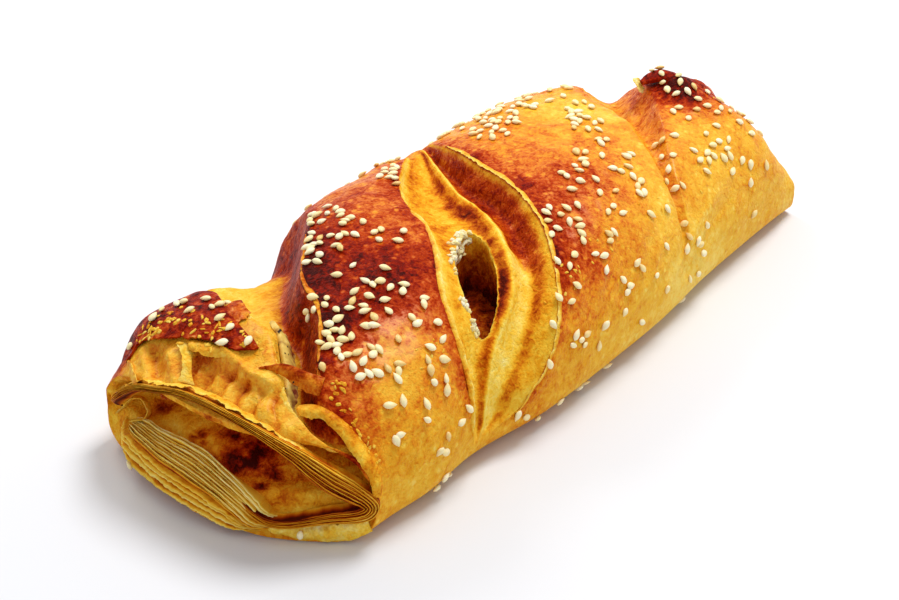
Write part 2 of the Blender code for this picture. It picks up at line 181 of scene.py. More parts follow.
def lumps(points, size, seed):
    """Smooth random lumps about as wide as size, between -1 and 1, at each point."""
    at = np.asarray(points, float) / size + 100.0
    cell = np.floor(at).astype(np.int64)
    part = at - cell
    fade = part * part * part * (part * (part * 6 - 15) + 10)
    total = np.zeros(at.shape[:-1])
    for corner in itertools.product((0, 1), repeat=3):
        key = cell + corner
        n = key[..., 0] * 73856093 ^ key[..., 1] * 19349663 ^ key[..., 2] * 83492791 ^ (seed + 1) * 40503
        n = (n ^ (n >> 13)) * 1274126177 & 0x7FFFFFFF
        n = (n ^ (n >> 15)) * 668265263 & 0x7FFFFFFF
        angle, height = (n % 1024) / 1024 * 2 * math.pi, (n // 1024 % 1024) / 512 - 1
        flat = np.sqrt(1 - height ** 2)
        way = np.stack([flat * np.cos(angle), flat * np.sin(angle), height], -1)
        weight = np.prod(np.where(corner, fade, 1 - fade), axis=-1)
        total += weight * ((part - corner) * way).sum(-1)
    return total * LUMP_SCALE


def mixed_lumps(points, layers, seed=0):
    """Lumps of several sizes in one sum: how strong each is, how wide, and its own step from the seed."""
    return sum(strength * lumps(points, size, seed + step) for strength, size, step in layers)


def skin(x, turn):
    """Points of the plain skin and the directions out of it."""
    front, back, top, front_power, back_power = (
        smooth_table(x, STATIONS[:, 0], STATIONS[:, k]) for k in (1, 2, 3, 4, 5))
    side, up = np.cos(np.radians(turn)), np.sin(np.radians(turn))
    lift_power = np.where(up > 0, np.where(side > 0, back_power, front_power), FOOT_POWER)
    side_power = np.where(up > 0, SIDE_POWER, FOOT_SIDE_POWER)
    waist = WAIST * top
    reach = np.where(up > 0, top - waist, waist)
    half = (back - front) / 2
    across = np.sign(side) * np.abs(side) ** (2 / side_power)
    lift = np.sign(up) * np.abs(up) ** (2 / lift_power)
    z = waist + reach * lift
    z = np.where(up > 0, z, np.maximum(z - FLAT_BASE * np.abs(lift), UNDERSIDE))
    point = np.stack([x, (back + front) / 2 + half * across, z], -1)
    out = np.stack([0 * x, across * np.abs(across) ** (side_power - 2) / half,
                    lift * np.abs(lift) ** (lift_power - 2) / reach], -1)
    return point, out / np.linalg.norm(out, axis=-1, keepdims=True)


def rim(turn, ends):
    """x of an end's rim at each turn."""
    front, back, top, bottom = ends
    side, up = np.cos(np.radians(turn)), np.sin(np.radians(turn))
    corner = np.where(side < 0, front, back)
    middle = np.where(up > 0, top, bottom)
    reach = np.abs(side) ** (2 / np.where(up > 0, SIDE_POWER, FOOT_SIDE_POWER))
    return corner + (middle - corner) * (1 - reach ** np.where(side < 0, RIM_FRONT_POWER, RIM_BACK_POWER))


def slash_edges(turn):
    """x of every slash's left and right edge at each turn, and its depth there."""
    edges = []
    for rows in SLASHES:
        left, right, depth = (smooth_table(turn, rows[:, 0], rows[:, k], 360.0) for k in (1, 2, 3))
        edges.append((left, right, np.maximum(depth, 0.0)))
    return edges


def slash_share(number, share, turn):
    """A share of a slash's width as a place in its table of depths, which the middle slash bends."""
    share = np.full(np.shape(turn), float(share))
    if number != 1:
        return share
    ridge, wall = (np.interp(turn, MIDDLE_LINES[:, 0], MIDDLE_LINES[:, k]) for k in (1, 2))
    low = share / ridge * MIDDLE_KEYS[0]
    middle = MIDDLE_KEYS[0] + (share - ridge) / (wall - ridge) * (MIDDLE_KEYS[1] - MIDDLE_KEYS[0])
    high = MIDDLE_KEYS[1] + (share - wall) / (1 - wall) * (1 - MIDDLE_KEYS[1])
    return np.where(share < ridge, low, np.where(share < wall, middle, high))


def surface(column, share, turn):
    """Points at a share of a column's width: columns are bands and slashes by turns, from -X to +X."""
    edges = slash_edges(turn)
    walls = [rim(turn, NEAR_RIM)]
    for left, right, _ in edges:
        walls += [left, right]
    walls.append(rim(turn, FAR_RIM))
    point, out = skin(walls[column] + (walls[column + 1] - walls[column]) * share, turn)
    if column % 2:
        shares, floors = zip(*SLASH_FLOORS[column // 2])
        sink = smooth_table(slash_share(column // 2, share, turn), shares, floors) * edges[column // 2][2]
        return point - out * sink[:, None]
    rise = BAND_RISE[column // 2] * math.sin(math.pi * share) ** BAND_DOME_POWER
    return point + out * (rise * np.clip(np.sin(np.radians(turn)), 0, 1))[:, None]


def crust_point(x, turn):
    """The point of the crust at x and turn, in or out of a slash, and the direction out of the skin."""
    turns = np.array([float(turn)])
    walls = [rim(turns, NEAR_RIM)[0]]
    for left, right, _ in slash_edges(turns):
        walls += [left[0], right[0]]
    walls.append(rim(turns, FAR_RIM)[0])
    column = int(np.clip(np.searchsorted(walls, x) - 1, 0, len(walls) - 2))
    share = float(np.clip((x - walls[column]) / (walls[column + 1] - walls[column]), 0, 1))
    _, out = skin(np.array([float(x)]), turns)
    return surface(column, share, turns)[0], out[0]


# Meshes

# Edge of one layer in a torn stack: share of its height, how far it falls back, how much darker it is
# That darkening in the grooves where a layer falls back is painted shade
LAYER_PROFILE = ((0.03, 1.0, 0.34), (0.2, 0.14, 0.10), (0.5, 0.0, -0.04), (0.8, 0.12, 0.06),
                 (0.97, 1.0, 0.30))
# Lumps along such an edge, and in a thin sheet's tear, ruffle and tone: how strong each is, how wide, and
# its own step from the seed
LAYER_WEAR = ((0.6, 9.0, 0), (0.35, 2.6, 1), (0.3, 0.9, 2))
SHEET_TEAR = ((0.6, 2.6, 0), (0.5, 0.9, 5))
SHEET_RUFFLE = ((1.0, 3.2, 9), (0.5, 1.3, 3))
SHEET_CLOUDS = ((0.15, 3.0, 21), (0.08, 1.2, 22))
# Rows over which a sheet thins out towards its ends, and how thin it gets towards its free edge
SHEET_END_ROWS = 3
SHEET_THINNEST = 0.35
# How far from its ends a stack begins to sink into the crust, and how deep it gets
END_REACH, END_SINK = 10.0, 4.0
# Tone of a stack's hidden back, and how much it varies
BACK_TONE, BACK_CLOUDS = 0.52, 0.12


def make_piece(name, points, faces, finish, marks, smooth_angle=60):
    """A piece of the parcel from points in millimetres, with a number for each point under each mark."""
    mesh = bpy.data.meshes.new(name)
    mesh.from_pydata((np.asarray(points) * MM).tolist(), [], faces)
    shell = bmesh.new()
    shell.from_mesh(mesh)
    bmesh.ops.recalc_face_normals(shell, faces=shell.faces)
    shell.to_mesh(mesh)
    shell.free()
    for mark, values in marks.items():
        mesh.attributes.new(mark, "FLOAT", "POINT").data.foreach_set(
            "value", np.asarray(values, np.float32).ravel())
    mesh.shade_smooth()
    mesh.set_sharp_from_angle(angle=math.radians(smooth_angle))
    mesh.materials.append(finish)
    piece = bpy.data.objects.new(name, mesh)
    bpy.context.scene.collection.objects.link(piece)
    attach(piece, "root")
    return piece


def tube_faces(rings, sides):
    """Quads between rings of points that follow each other, each ring closed on itself."""
    row, side = np.meshgrid(np.arange(rings - 1), np.arange(sides), indexing="ij")
    low = row * sides
    after = (side + 1) % sides
    quads = np.stack([low + side, low + after, low + sides + after, low + sides + side], -1)
    return quads.reshape(-1, 4).tolist()


def tube(name, rings, finish, marks, smooth_angle=60):
    """A closed body through rings of equal count, with a point in the middle of each end."""
    rings = np.asarray(rings)
    count, sides = rings.shape[:2]
    points = np.concatenate([rings.reshape(-1, 3), rings[:1].mean(1), rings[-1:].mean(1)])
    faces = tube_faces(count, sides)
    start, end, last = count * sides, count * sides + 1, (count - 1) * sides
    for k in range(sides):
        after = (k + 1) % sides
        faces.append((start, after, k))
        faces.append((end, last + k, last + after))
    full = {}
    for mark, values in marks.items():
        values = np.broadcast_to(np.asarray(values, float), rings.shape[:2])
        full[mark] = np.concatenate([values.ravel(), [values[0].mean(), values[-1].mean()]])
    return make_piece(name, points, faces, finish, full, smooth_angle)


def grid_normals(net):
    """Unit directions square to a grid of points."""
    along, across = np.gradient(net, axis=0), np.gradient(net, axis=1)
    normal = np.cross(along, across)
    return normal / np.maximum(np.linalg.norm(normal, axis=-1, keepdims=True), 1e-9)


def dense(net, count, axis):
    """A net of points read at count even steps along one axis."""
    net = np.moveaxis(np.asarray(net, float), axis, 0)
    read = smooth_table(np.linspace(0, len(net) - 1, count), np.arange(len(net)), net)
    return np.moveaxis(read, 0, axis)


def sheet(name, net, thick, finish, slot, steps, ragged, ruffle, seed, tone, glaze=0.0, tip=0.25):
    """A thin torn sheet through a small net of points: rows run along it, and columns from the edge that
    is held to the free edge, which is ragged and ruffled. Tone goes from the held to the free edge."""
    net = dense(net, steps[0], 0)
    cut = 1 - ragged * (0.5 + 0.5 * mixed_lumps(net[:, -1], SHEET_TEAR, seed))
    rows = []
    for row, share in zip(net, np.clip(cut, 0.2, 1.0)):
        at = np.linspace(0, 1, steps[1]) * share * (len(row) - 1)
        rows.append(smooth_table(at, np.arange(len(row)), row))
    net = np.array(rows)
    free = np.linspace(0, 1, steps[1])[None, :]
    ripple = ruffle * (0.25 + 0.75 * free ** 1.5) * mixed_lumps(net, SHEET_RUFFLE, seed)
    net = net + grid_normals(net) * ripple[..., None]
    normal = grid_normals(net)
    along = np.arange(steps[0])[:, None]
    ends = np.minimum(1, np.minimum(along, steps[0] - 1 - along) / SHEET_END_ROWS + tip)
    body = thick / 2 * ends * np.clip(1.15 - free ** 2, SHEET_THINNEST, 1) * np.clip(free * 6 + 0.5, 0, 1)
    top, bottom = net + normal * body[..., None], net - normal * body[..., None]
    rings = np.concatenate([top, bottom[:, ::-1]], 1)
    shade = tone[0] + (tone[1] - tone[0]) * free + mixed_lumps(net, SHEET_CLOUDS, seed)
    marks = {"tone": np.concatenate([shade, shade[:, ::-1]], 1), "glaze": glaze}
    return tube(name, rings, finish, marks)


def bundle(name, path, out, thick, layers, finish, lift, back, wear, gap, seed, steps=300):
    """A stack of dough layers seen on its torn edge, swept along a path. Out points out of the stack,
    thick is its height at each point of the path, lift how far it stands out of the path, and layers
    holds each layer's share of that height, how far it stands out further and its tone. Back is how far
    it reaches in behind the path, wear how uneven its edges are, and gap how deep the grooves between
    them are."""
    path, out = dense(path, steps, 0), dense(out, steps, 0)
    thick = dense(np.asarray(thick, float)[:, None], steps, 0)[:, 0]
    ahead = np.gradient(path, axis=0)
    ahead = ahead / np.linalg.norm(ahead, axis=1, keepdims=True)
    across = np.cross(out, ahead)
    across = across / np.linalg.norm(across, axis=1, keepdims=True)
    out = np.cross(ahead, across)
    walk = np.concatenate([[0], np.cumsum(np.linalg.norm(np.diff(path, axis=0), axis=1))])
    widths = np.array([layer[0] for layer in layers])
    bounds = np.concatenate([[0], np.cumsum(widths)]) / widths.sum() - 0.5
    ease = np.clip(np.minimum(walk, walk[-1] - walk) / END_REACH, 0, 1)
    thick = thick * (0.4 + 0.6 * ease)
    rings, tones, levels = [], [], []
    for k, (_, stand, tone) in enumerate(layers):
        line = np.stack([walk, np.full(steps, k * 17.0), np.zeros(steps)], -1)
        edge = lift + stand + wear * mixed_lumps(line, LAYER_WEAR, seed) - END_SINK * (1 - ease) ** 2
        drift = 0.3 / len(layers) * lumps(line, 6.0, seed + 3)
        open_here = gap * (0.5 + np.clip(lumps(line, 7.0, seed + 4) + 0.2, 0, 1))
        shade = tone + 0.08 * lumps(line, 5.0, seed + 6)
        # Layers darken where they fall back into a groove: painted shade
        for part, low, dark in LAYER_PROFILE:
            spot = bounds[k] + (bounds[k + 1] - bounds[k]) * part
            level = (spot + drift) * thick
            rings.append(path + across * level[:, None] + out * (edge - low * open_here)[:, None])
            tones.append(shade + dark)
            levels.append(level)
    for side in (0.5, -0.5):
        rings.append(path + across * (side * thick)[:, None] - out * back)
        tones.append(BACK_TONE + BACK_CLOUDS * lumps(rings[-1], 2.0, seed + 7))
        levels.append(side * thick)
    rings = np.stack(rings, 1)
    marks = {"tone": np.stack(tones, 1), "glaze": 0.0, "level": np.stack(levels, 1),
             "run": np.broadcast_to(walk[:, None], rings.shape[:2])}
    return tube(name, rings, finish, marks, 75)


# Materials

class Socket:
    """An output of a material's node, with arithmetic that adds Math nodes."""

    def __init__(self, output):
        self.output = output

    def math(self, operation, first, second):
        """The result of one Math node on two values."""
        return add_node(self.output.id_data, "ShaderNodeMath", {"operation": operation},
                        {0: first, 1: second})

    def __add__(self, other):
        return self.math("ADD", self, other)

    def __sub__(self, other):
        return self.math("SUBTRACT", self, other)

    def __rsub__(self, other):
        return self.math("SUBTRACT", other, self)

    def __mul__(self, other):
        return self.math("MULTIPLY", self, other)

    __radd__ = __add__
    __rmul__ = __mul__

    def between(self, low, high):
        """0 below low, 1 above high and smooth in between."""
        return add_node(self.output.id_data, "ShaderNodeMapRange", {"interpolation_type": "SMOOTHSTEP"},
                        {"Value": self, "From Min": low, "From Max": high})


def add_node(tree, kind, settings, values, output=0):
    """A node with its settings made first, then the values or links of its sockets."""
    node = tree.nodes.new(kind)
    for setting, value in settings.items():
        if setting == "stops":
            ramp = node.color_ramp
            while len(ramp.elements) < len(value):
                ramp.elements.new(0.5)
            for element, (position, color) in zip(ramp.elements, value):
                element.position = position
                element.color = color
        else:
            setattr(node, setting, value)
    for key, value in values.items():
        if isinstance(value, Socket):
            tree.links.new(value.output, node.inputs[key])
        else:
            node.inputs[key].default_value = value
    return Socket(node.outputs[output])


class Finish:
    """A material for the parcel, made round one Principled shader."""

    def __init__(self, name, **fixed):
        self.material = bpy.data.materials.new(name)
        self.material.use_nodes = True
        self.tree = self.material.node_tree
        self.shader = self.tree.nodes["Principled BSDF"]
        for socket, value in fixed.items():
            self.shader.inputs[socket.replace("_", " ")].default_value = value
        self.place = self.node("ShaderNodeTexCoord", {}, {}, "Object")

    def node(self, kind, settings, values, output=0):
        """The output of a node of this material."""
        return add_node(self.tree, kind, settings, values, output)

    def mark(self, name):
        """The number that the mesh holds under a mark."""
        return self.node("ShaderNodeAttribute", {"attribute_name": name}, {}, "Fac")

    def noise(self, size, detail, rough=0.55, warp=0.0):
        """Cloudy noise from 0 to 1 with lumps about as wide as size, in millimetres."""
        return self.node("ShaderNodeTexNoise", {}, {
            "Vector": self.place, "Scale": 1 / (size * MM), "Detail": detail, "Roughness": rough,
            "Distortion": warp})

    def cells(self, size):
        """Distance to scattered points about size apart, in millimetres."""
        return self.node("ShaderNodeTexVoronoi", {"feature": "F1"}, {
            "Vector": self.place, "Scale": 1 / (size * MM), "Randomness": 1.0})

    def ramp(self, value, stops):
        """A colour from a row of stops, read at a value."""
        return self.node("ShaderNodeValToRGB", {"stops": stops}, {"Fac": value})

    def blend(self, share, low, high):
        """A colour between two colours."""
        return self.node("ShaderNodeMix", {"data_type": "RGBA"}, {0: share, 6: low, 7: high}, 2)

    def bump(self, height, depth, under=None):
        """Relief of the given depth in millimetres, over the relief under it."""
        values = {"Height": height, "Distance": depth * MM, "Strength": 1.0}
        if under:
            values["Normal"] = under
        return self.node("ShaderNodeBump", {}, values)

    def wear(self, **sockets):
        """Links results to the shader."""
        for socket, value in sockets.items():
            self.tree.links.new(value.output, self.shader.inputs[socket.replace("_", " ")])
        return self.material


# Colours from pale to burnt: of the egg-washed skin, and of torn dough
BAKED = ((0.00, srgb(252, 214, 100)), (0.16, srgb(246, 194, 62)), (0.32, srgb(238, 170, 40)),
         (0.46, srgb(228, 142, 24)), (0.58, srgb(212, 104, 12)), (0.70, srgb(182, 60, 4)),
         (0.84, srgb(138, 22, 0)), (1.00, srgb(62, 6, 2)))
TORN = ((0.00, srgb(254, 238, 164)), (0.18, srgb(250, 220, 108)), (0.36, srgb(243, 196, 60)),
        (0.54, srgb(230, 160, 28)), (0.70, srgb(200, 106, 10)), (0.85, srgb(148, 46, 2)),
        (1.00, srgb(76, 12, 2)))


def pastry_finish():
    """Baked dough: egg-washed where glaze is 1, torn and matte where it is 0, darker with tone."""
    finish = Finish("baked_pastry", Specular_IOR_Level=0.03, Coat_Roughness=0.34, Subsurface_Weight=0.08,
                    Subsurface_Radius=(0.9, 0.35, 0.12), Subsurface_Scale=0.0012)
    tone, glaze = finish.mark("tone"), finish.mark("glaze")
    clouds = finish.noise(6.5, 4.0, 0.6, 0.5) - 0.5
    mottle = finish.noise(2.0, 3.0, 0.6, 0.9) - 0.5
    speckle = finish.noise(0.6, 2.0, 0.6) - 0.5
    freckle = 1 - finish.cells(1.9).between(0.12, 0.34)
    bubble = 1 - finish.cells(3.4).between(0.10, 0.30)
    crinkle = finish.noise(1.7, 2.0, 0.5, 2.4) - 0.5
    baked = tone + clouds * 0.54 + mottle * 0.56 + speckle * 0.26 - bubble * 0.16 + freckle * 0.08
    torn = tone + clouds * 0.38 + mottle * 0.50 + speckle * 0.26
    color = finish.blend(glaze, finish.ramp(torn, TORN), finish.ramp(baked, BAKED))
    rough = 0.60 - glaze * 0.22 + mottle * 0.25
    relief = finish.bump(speckle + crinkle * 0.8, 0.26, finish.bump(mottle + clouds, 0.45))
    height = finish.node("ShaderNodeSeparateXYZ", {}, {"Vector": finish.place}, 2)
    wash = glaze * (1 - baked.between(0.54, 0.76)) * height.between(18 * MM, 38 * MM) * 0.32
    return finish.wear(Base_Color=color, Roughness=rough, Coat_Weight=wash, Normal=relief)


def layered_finish():
    """Torn dough layers, streaked along the run of the stack and across its levels."""
    finish = Finish("layered_dough", Roughness=0.6, Specular_IOR_Level=0.06, Subsurface_Weight=0.10,
                    Subsurface_Radius=(0.9, 0.4, 0.15), Subsurface_Scale=0.0012)
    streak = finish.node("ShaderNodeCombineXYZ", {}, {
        "X": finish.mark("run") * 0.10, "Y": finish.mark("level") * 2.4})
    grain = finish.node("ShaderNodeTexNoise", {}, {"Vector": streak, "Scale": 1.0, "Detail": 4.0,
                                                   "Roughness": 0.62}) - 0.5
    mottle = finish.noise(2.4, 3.0, 0.6) - 0.5
    color = finish.ramp(finish.mark("tone") + grain * 0.62 + mottle * 0.16, TORN)
    return finish.wear(Base_Color=color, Normal=finish.bump(grain, 0.5))


def cheese_finish():
    """White crumbly cheese, browned and then burnt with tone."""
    finish = Finish("white_cheese", Roughness=0.6, Specular_IOR_Level=0.2, Subsurface_Weight=0.25,
                    Subsurface_Radius=(1.0, 0.8, 0.5), Subsurface_Scale=0.002)
    clouds = finish.noise(3.0, 3.0, 0.6)
    color = finish.ramp(finish.mark("tone") + clouds * 0.35 - 0.12, (
        (0.0, srgb(250, 246, 226)), (0.4, srgb(240, 226, 164)), (0.7, srgb(216, 182, 84)),
        (0.9, srgb(120, 44, 16)), (1.0, srgb(34, 16, 10))))
    return finish.wear(Base_Color=color, Normal=finish.bump(finish.noise(1.2, 2.0), 0.14))


def seed_finish():
    """Cream seeds, more toasted with tone."""
    finish = Finish("sesame_seed", Roughness=0.38, Specular_IOR_Level=0.4, Subsurface_Weight=0.15,
                    Subsurface_Radius=(1.0, 0.7, 0.4), Subsurface_Scale=0.0008)
    toast = finish.mark("tone") + (finish.noise(0.9, 2.0) - 0.5) * 0.3
    color = finish.ramp(toast, ((0.0, srgb(252, 243, 206)), (0.45, srgb(246, 226, 164)),
                                (0.8, srgb(234, 196, 116)), (1.0, srgb(206, 150, 70))))
    return finish.wear(Base_Color=color, Normal=finish.bump(finish.noise(0.35, 2.0), 0.05))


def floor_finish():
    """A plain, nearly even grey-white surface to stand on."""
    finish = Finish("studio_floor", Roughness=0.7, Specular_IOR_Level=0.1)
    shade = finish.noise(400, 1.0)
    return finish.wear(Base_Color=finish.blend(shade, srgb(224, 225, 229), srgb(229, 230, 233)))


PASTRY = pastry_finish()
LAYERED = layered_finish()
CHEESE = cheese_finish()
SEED = seed_finish()

# Crust

# Browner (+) and paler (-) patches of the skin: x, y, z, how far they reach, how strong
PATCHES = (
    (-72, 6, 44, 22, 0.34), (-84, -15, 41, 13, 0.34), (-52, -14, 45, 14, 0.30), (-52, 22, 44, 24, 0.26),
    (-66, -22, 43, 12, 0.16), (-80, -32, 36, 9, -0.16), (-72, -27, 41, 6, -0.14), (-98, -30, 31, 11, 0.16),
    (-70, -43, 14, 16, -0.08), (-58, -38, 30, 8, 0.10), (-12, -34, 39, 13, 0.30), (6, -18, 45, 14, 0.20),
    (-6, 12, 46, 22, 0.24), (24, -24, 44, 12, 0.16), (52, 8, 45, 13, -0.24), (46, -18, 44, 10, -0.04),
    (34, 12, 46, 12, 0.06), (14, -44, 24, 20, -0.04), (36, -44, 18, 16, -0.12), (60, -40, 16, 26, -0.16),
    (-40, -45, 12, 12, 0.14), (-20, -46, 10, 16, 0.04), (89, -6, 45, 9, 0.40), (82, -14, 43, 7, 0.26),
    (98, -14, 40, 13, 0.22), (70, -32, 34, 12, -0.10), (92, -34, 28, 14, -0.08), (108, -36, 12, 16, -0.10),
    (-30, 40, 20, 40, 0.04), (60, 40, 20, 40, -0.04), (-104, 36, 24, 12, 0.24), (-92, 30, 34, 14, 0.32),
    (58, -6, 45, 8, -0.20), (50, -20, 43.5, 7, -0.20), (44, -30, 39, 7, -0.18), (38, -38, 33, 7, -0.14),
    (24, -46, 14, 16, -0.10), (44, -44, 10, 16, -0.10), (-30, -46, 14, 10, -0.10), (0, -46, 12, 14, -0.08),
    (45, -14, 44.5, 8, 0.12), (29, -26, 43, 7, -0.16), (31, -37, 36, 6, -0.14), (-11, -46, 13, 12, -0.08),
    (-84, -42, 18, 10, -0.10),
)
# Ridges (+) and hollows (-) of the skin: width, height, change of tone, points
# The change of tone is mostly painted shade in the hollows and painted highlight on the ridges
FOLDS = (
    (1.7, 2.1, -0.02, ((-99.8, 4.0, 37.0), (-101.1, 0.0, 36.3), (-102.7, -6.7, 35.3),
                       (-102.4, -12.6, 34.9))),
    (1.6, -1.3, 0.24, ((-104.2, 1.0, 34.6), (-105.0, -4.5, 34.0), (-104.6, -10.0, 33.9))),
    (1.0, 1.2, -0.14, ((-104.4, -9.5, 34.0), (-107.0, -10.0, 32.7), (-109.6, -10.6, 31.3))),
    (0.8, -1.0, 0.22, ((-104.8, -12.6, 33.8), (-107.4, -12.8, 32.3), (-109.6, -13.0, 31.0))),
    (0.8, -0.9, 0.20, ((-105.4, -7.0, 33.6), (-107.6, -6.8, 32.4), (-109.8, -7.6, 31.2))),
    (0.9, 0.8, -0.12, ((-103.8, -5.0, 34.8), (-106.6, -3.6, 33.0), (-109.2, -4.2, 31.6))),
    (3.0, -1.9, 0.22, ((-103.8, 7.6, 34.6), (-105.4, 4.6, 33.8), (-107.6, 3.4, 32.4))),
    (2.8, -1.8, 0.18, ((-104.8, 24.0, 32.0), (-107.0, 21.6, 30.6), (-109.0, 18.5, 29.8))),
    (1.3, 1.3, -0.10, ((-105.0, 18.0, 32.8), (-108.4, 13.6, 31.6), (-110.6, 11.0, 30.6))),
    (1.0, 1.0, -0.06, ((-106.2, 26.2, 29.6), (-109.4, 21.0, 29.4), (-111.4, 17.0, 28.4))),
    (1.5, -1.0, 0.12, ((-108.6, 8.0, 31.6), (-109.6, 4.0, 31.4), (-110.4, 0.0, 31.2))),
    (2.2, 1.0, -0.06, ((-106.8, -14.6, 32.4), (-108.6, -18.0, 30.6), (-108.2, -22.0, 29.0))),
    (2.6, 0.8, -0.10, ((-86.0, 4.0, 39.8), (-92.0, -2.0, 39.2), (-97.6, -7.4, 37.6),
                       (-101.6, -12.6, 35.2))),
    (0.9, 1.0, -0.10, ((-97.6, 17.0, 37.0), (-102.4, 12.8, 35.6), (-106.6, 11.2, 33.4),
                       (-109.6, 10.4, 31.4))),
    (0.8, -0.9, 0.20, ((-99.6, 14.4, 37.0), (-104.0, 10.4, 34.8), (-107.6, 8.8, 32.6))),
    (0.7, 0.8, -0.10, ((-103.6, 29.6, 30.4), (-106.8, 25.6, 30.0), (-109.8, 22.4, 29.2),
                       (-111.6, 20.0, 28.0))),
    (0.7, -0.8, 0.20, ((-103.2, 27.0, 31.8), (-107.0, 23.0, 31.0), (-110.0, 19.4, 29.8))),
    (0.7, 0.7, -0.10, ((-101.6, 2.6, 37.0), (-105.0, 1.8, 34.6), (-108.4, 2.4, 32.4),
                       (-110.6, 3.4, 31.2))),
    (0.7, -0.8, 0.22, ((-102.2, -3.0, 36.2), (-105.8, -1.4, 33.8), (-109.4, -2.0, 31.6))),
    (0.7, 0.8, -0.12, ((-102.2, -9.4, 35.8), (-105.8, -11.2, 33.4), (-109.6, -15.6, 30.6))),
    (0.7, -0.8, 0.20, ((-102.6, -15.4, 34.4), (-106.0, -16.6, 32.6), (-109.0, -20.8, 29.6))),
    (0.6, 0.6, -0.08, ((-96.0, 12.0, 39.4), (-100.6, 5.4, 38.0), (-103.6, -1.6, 36.0))),
    (2.6, -1.9, 0.34, ((-100.4, -25.2, 28.6), (-101.6, -28.9, 27.2), (-102.0, -32.4, 25.2),
                       (-101.6, -36.0, 22.0))),
    (1.8, -1.0, 0.26, ((-101.6, -36.0, 22.0), (-100.8, -38.4, 18.6), (-100.2, -39.6, 15.6))),
    (0.8, -0.9, 0.20, ((-46.8, -34.4, 29.4), (-50.3, -36.7, 25.7), (-53.9, -38.4, 21.3),
                       (-58.6, -40.0, 18.0))),
    (1.0, 0.9, -0.10, ((-11.0, -8.6, 39.8), (-19.9, -21.1, 38.2), (-28.2, -29.0, 35.3),
                       (-42.4, -35.2, 31.4))),
    (0.7, 0.5, -0.10, ((-30.3, -35.0, 32.4), (-37.1, -38.2, 27.6), (-44.5, -40.0, 22.4),
                       (-52.0, -40.8, 16.4))),
    (0.6, -0.5, 0.12, ((-27.2, -35.6, 33.4), (-34.6, -39.2, 27.4), (-42.2, -41.6, 20.4),
                       (-50.0, -42.2, 14.4))),
    (1.4, -0.6, 0.08, ((-40.0, -46.0, 12.0), (-52.0, -45.0, 8.0), (-66.0, -43.0, 7.0))),
    (1.2, 0.6, -0.05, ((-30.0, -45.0, 20.0), (-42.0, -45.8, 12.0), (-54.0, -44.0, 5.0))),
    (1.2, 0.6, -0.06, ((62.0, -38.0, 28.0), (48.0, -42.0, 26.0), (30.0, -45.5, 18.0))),
    (1.6, -0.6, 0.06, ((70.0, -38.5, 26.0), (52.0, -42.5, 20.0), (38.0, -44.5, 13.0))),
    (1.0, 0.5, -0.06, ((36.0, -37.0, 35.0), (24.0, -43.0, 28.0), (6.0, -46.0, 17.0))),
    (0.9, 0.4, -0.05, ((10.0, -37.0, 37.5), (-6.0, -43.0, 30.0), (-22.0, -46.0, 18.0))),
    (1.2, -0.5, 0.05, ((-66.0, -36.0, 34.0), (-76.0, -41.0, 26.0), (-88.0, -42.5, 14.0))),
    (6.0, -2.0, 0.0, ((73.0, 3.0, 44.5), (80.0, 8.0, 44.0), (86.0, 20.0, 41.0))),
    (6.0, 3.0, -0.04, ((90.0, -7.5, 43.0), (94.0, -9.0, 42.0), (100.0, -10.0, 38.0))),
    (3.6, 1.2, 0.12, ((88.0, -9.0, 43.4), (84.0, -14.0, 43.2), (80.0, -19.0, 42.0))),
    (8.0, -2.6, 0.0, ((107.0, -30.0, 25.0), (112.0, -20.0, 24.0), (112.0, 0.0, 24.0))),
)
# Power of a narrow fold's sharp crest, the width under which a fold has one, and how much of the change of
# tone the bare crust shows
FOLD_CREST, FOLD_CREST_WIDTH = 1.25, 1.9
# On the bare crust too, the folds' change of tone is painted shade and painted highlight
SKIN_FOLD_SHADE = 0.8
# Blisters: how many, sizes, height as a share of the size and how that varies, change of tone, seed
BLISTERS = 260
BLISTER_SIZES = (1.0, 3.2)
BLISTER_RISE = 0.16
BLISTER_RISES = (0.4, 1.2)
BLISTER_TONE = 0.06
BLISTER_SEED = 11

# Near end's foot: how far it lies off the floor at each y, the x where that starts, its run and its height
FOOT_SPOTS = (-18, -11, -6, 0, 7, 15, 24, 36)
FOOT_LIFT = (0.0, 0.9, 2.0, 2.9, 3.0, 2.6, 2.6, 5.0)
FOOT_START, FOOT_RUN, FOOT_HEIGHT = -104.0, 11.0, 11.0

# Hole down to the filling in the middle slash: middle in plan, half length and half width, bearing, height
# of its floor, rings of its walls and of its floor, and the height under which the crust isn't cut
HOLE_MIDDLE = (-32.4, -21.2)
HOLE_HALF = (19.0, 5.3)
HOLE_BEARING = math.radians(41.5)
HOLE_WAYS = np.array([[math.cos(HOLE_BEARING), math.sin(HOLE_BEARING)],
                      [-math.sin(HOLE_BEARING), math.cos(HOLE_BEARING)]])
HOLE_FLOOR = 23.5
HOLE_RINGS, FLOOR_RINGS = 9, 9
HOLE_LEVEL = 20
# Tone of the hole's brink, dark tone of its floor, which is painted shade, and its glaze
HOLE_RIM_TONE, HOLE_FLOOR_SHADE, HOLE_GLAZE = 0.30, 0.86, 0.15
# How the walls narrow along the hole and widen across it on their way down
HOLE_NARROW, HOLE_FLARE = 0.26, 0.20
# How often its brink is pulled onto the outline, and how much of the way each time
BRINK_PULLS, BRINK_PULL = 3, 0.9

# Tone of the bands, and lumps in the crust's relief: how high, how wide, seed
BAND_TONE = 0.44
BAND_LUMPS = ((0.45, 11.0, 1), (0.28, 4.5, 2), (0.10, 1.8, 3))
# How the relief fades out towards the underside
RELIEF_FADE, RELIEF_START = 3, 1.2
# Change of tone near the floor: height where it starts, run down to its full strength, how strong
LOW_TONES = ((23, 15, -0.13), (4, 4, 0.10))
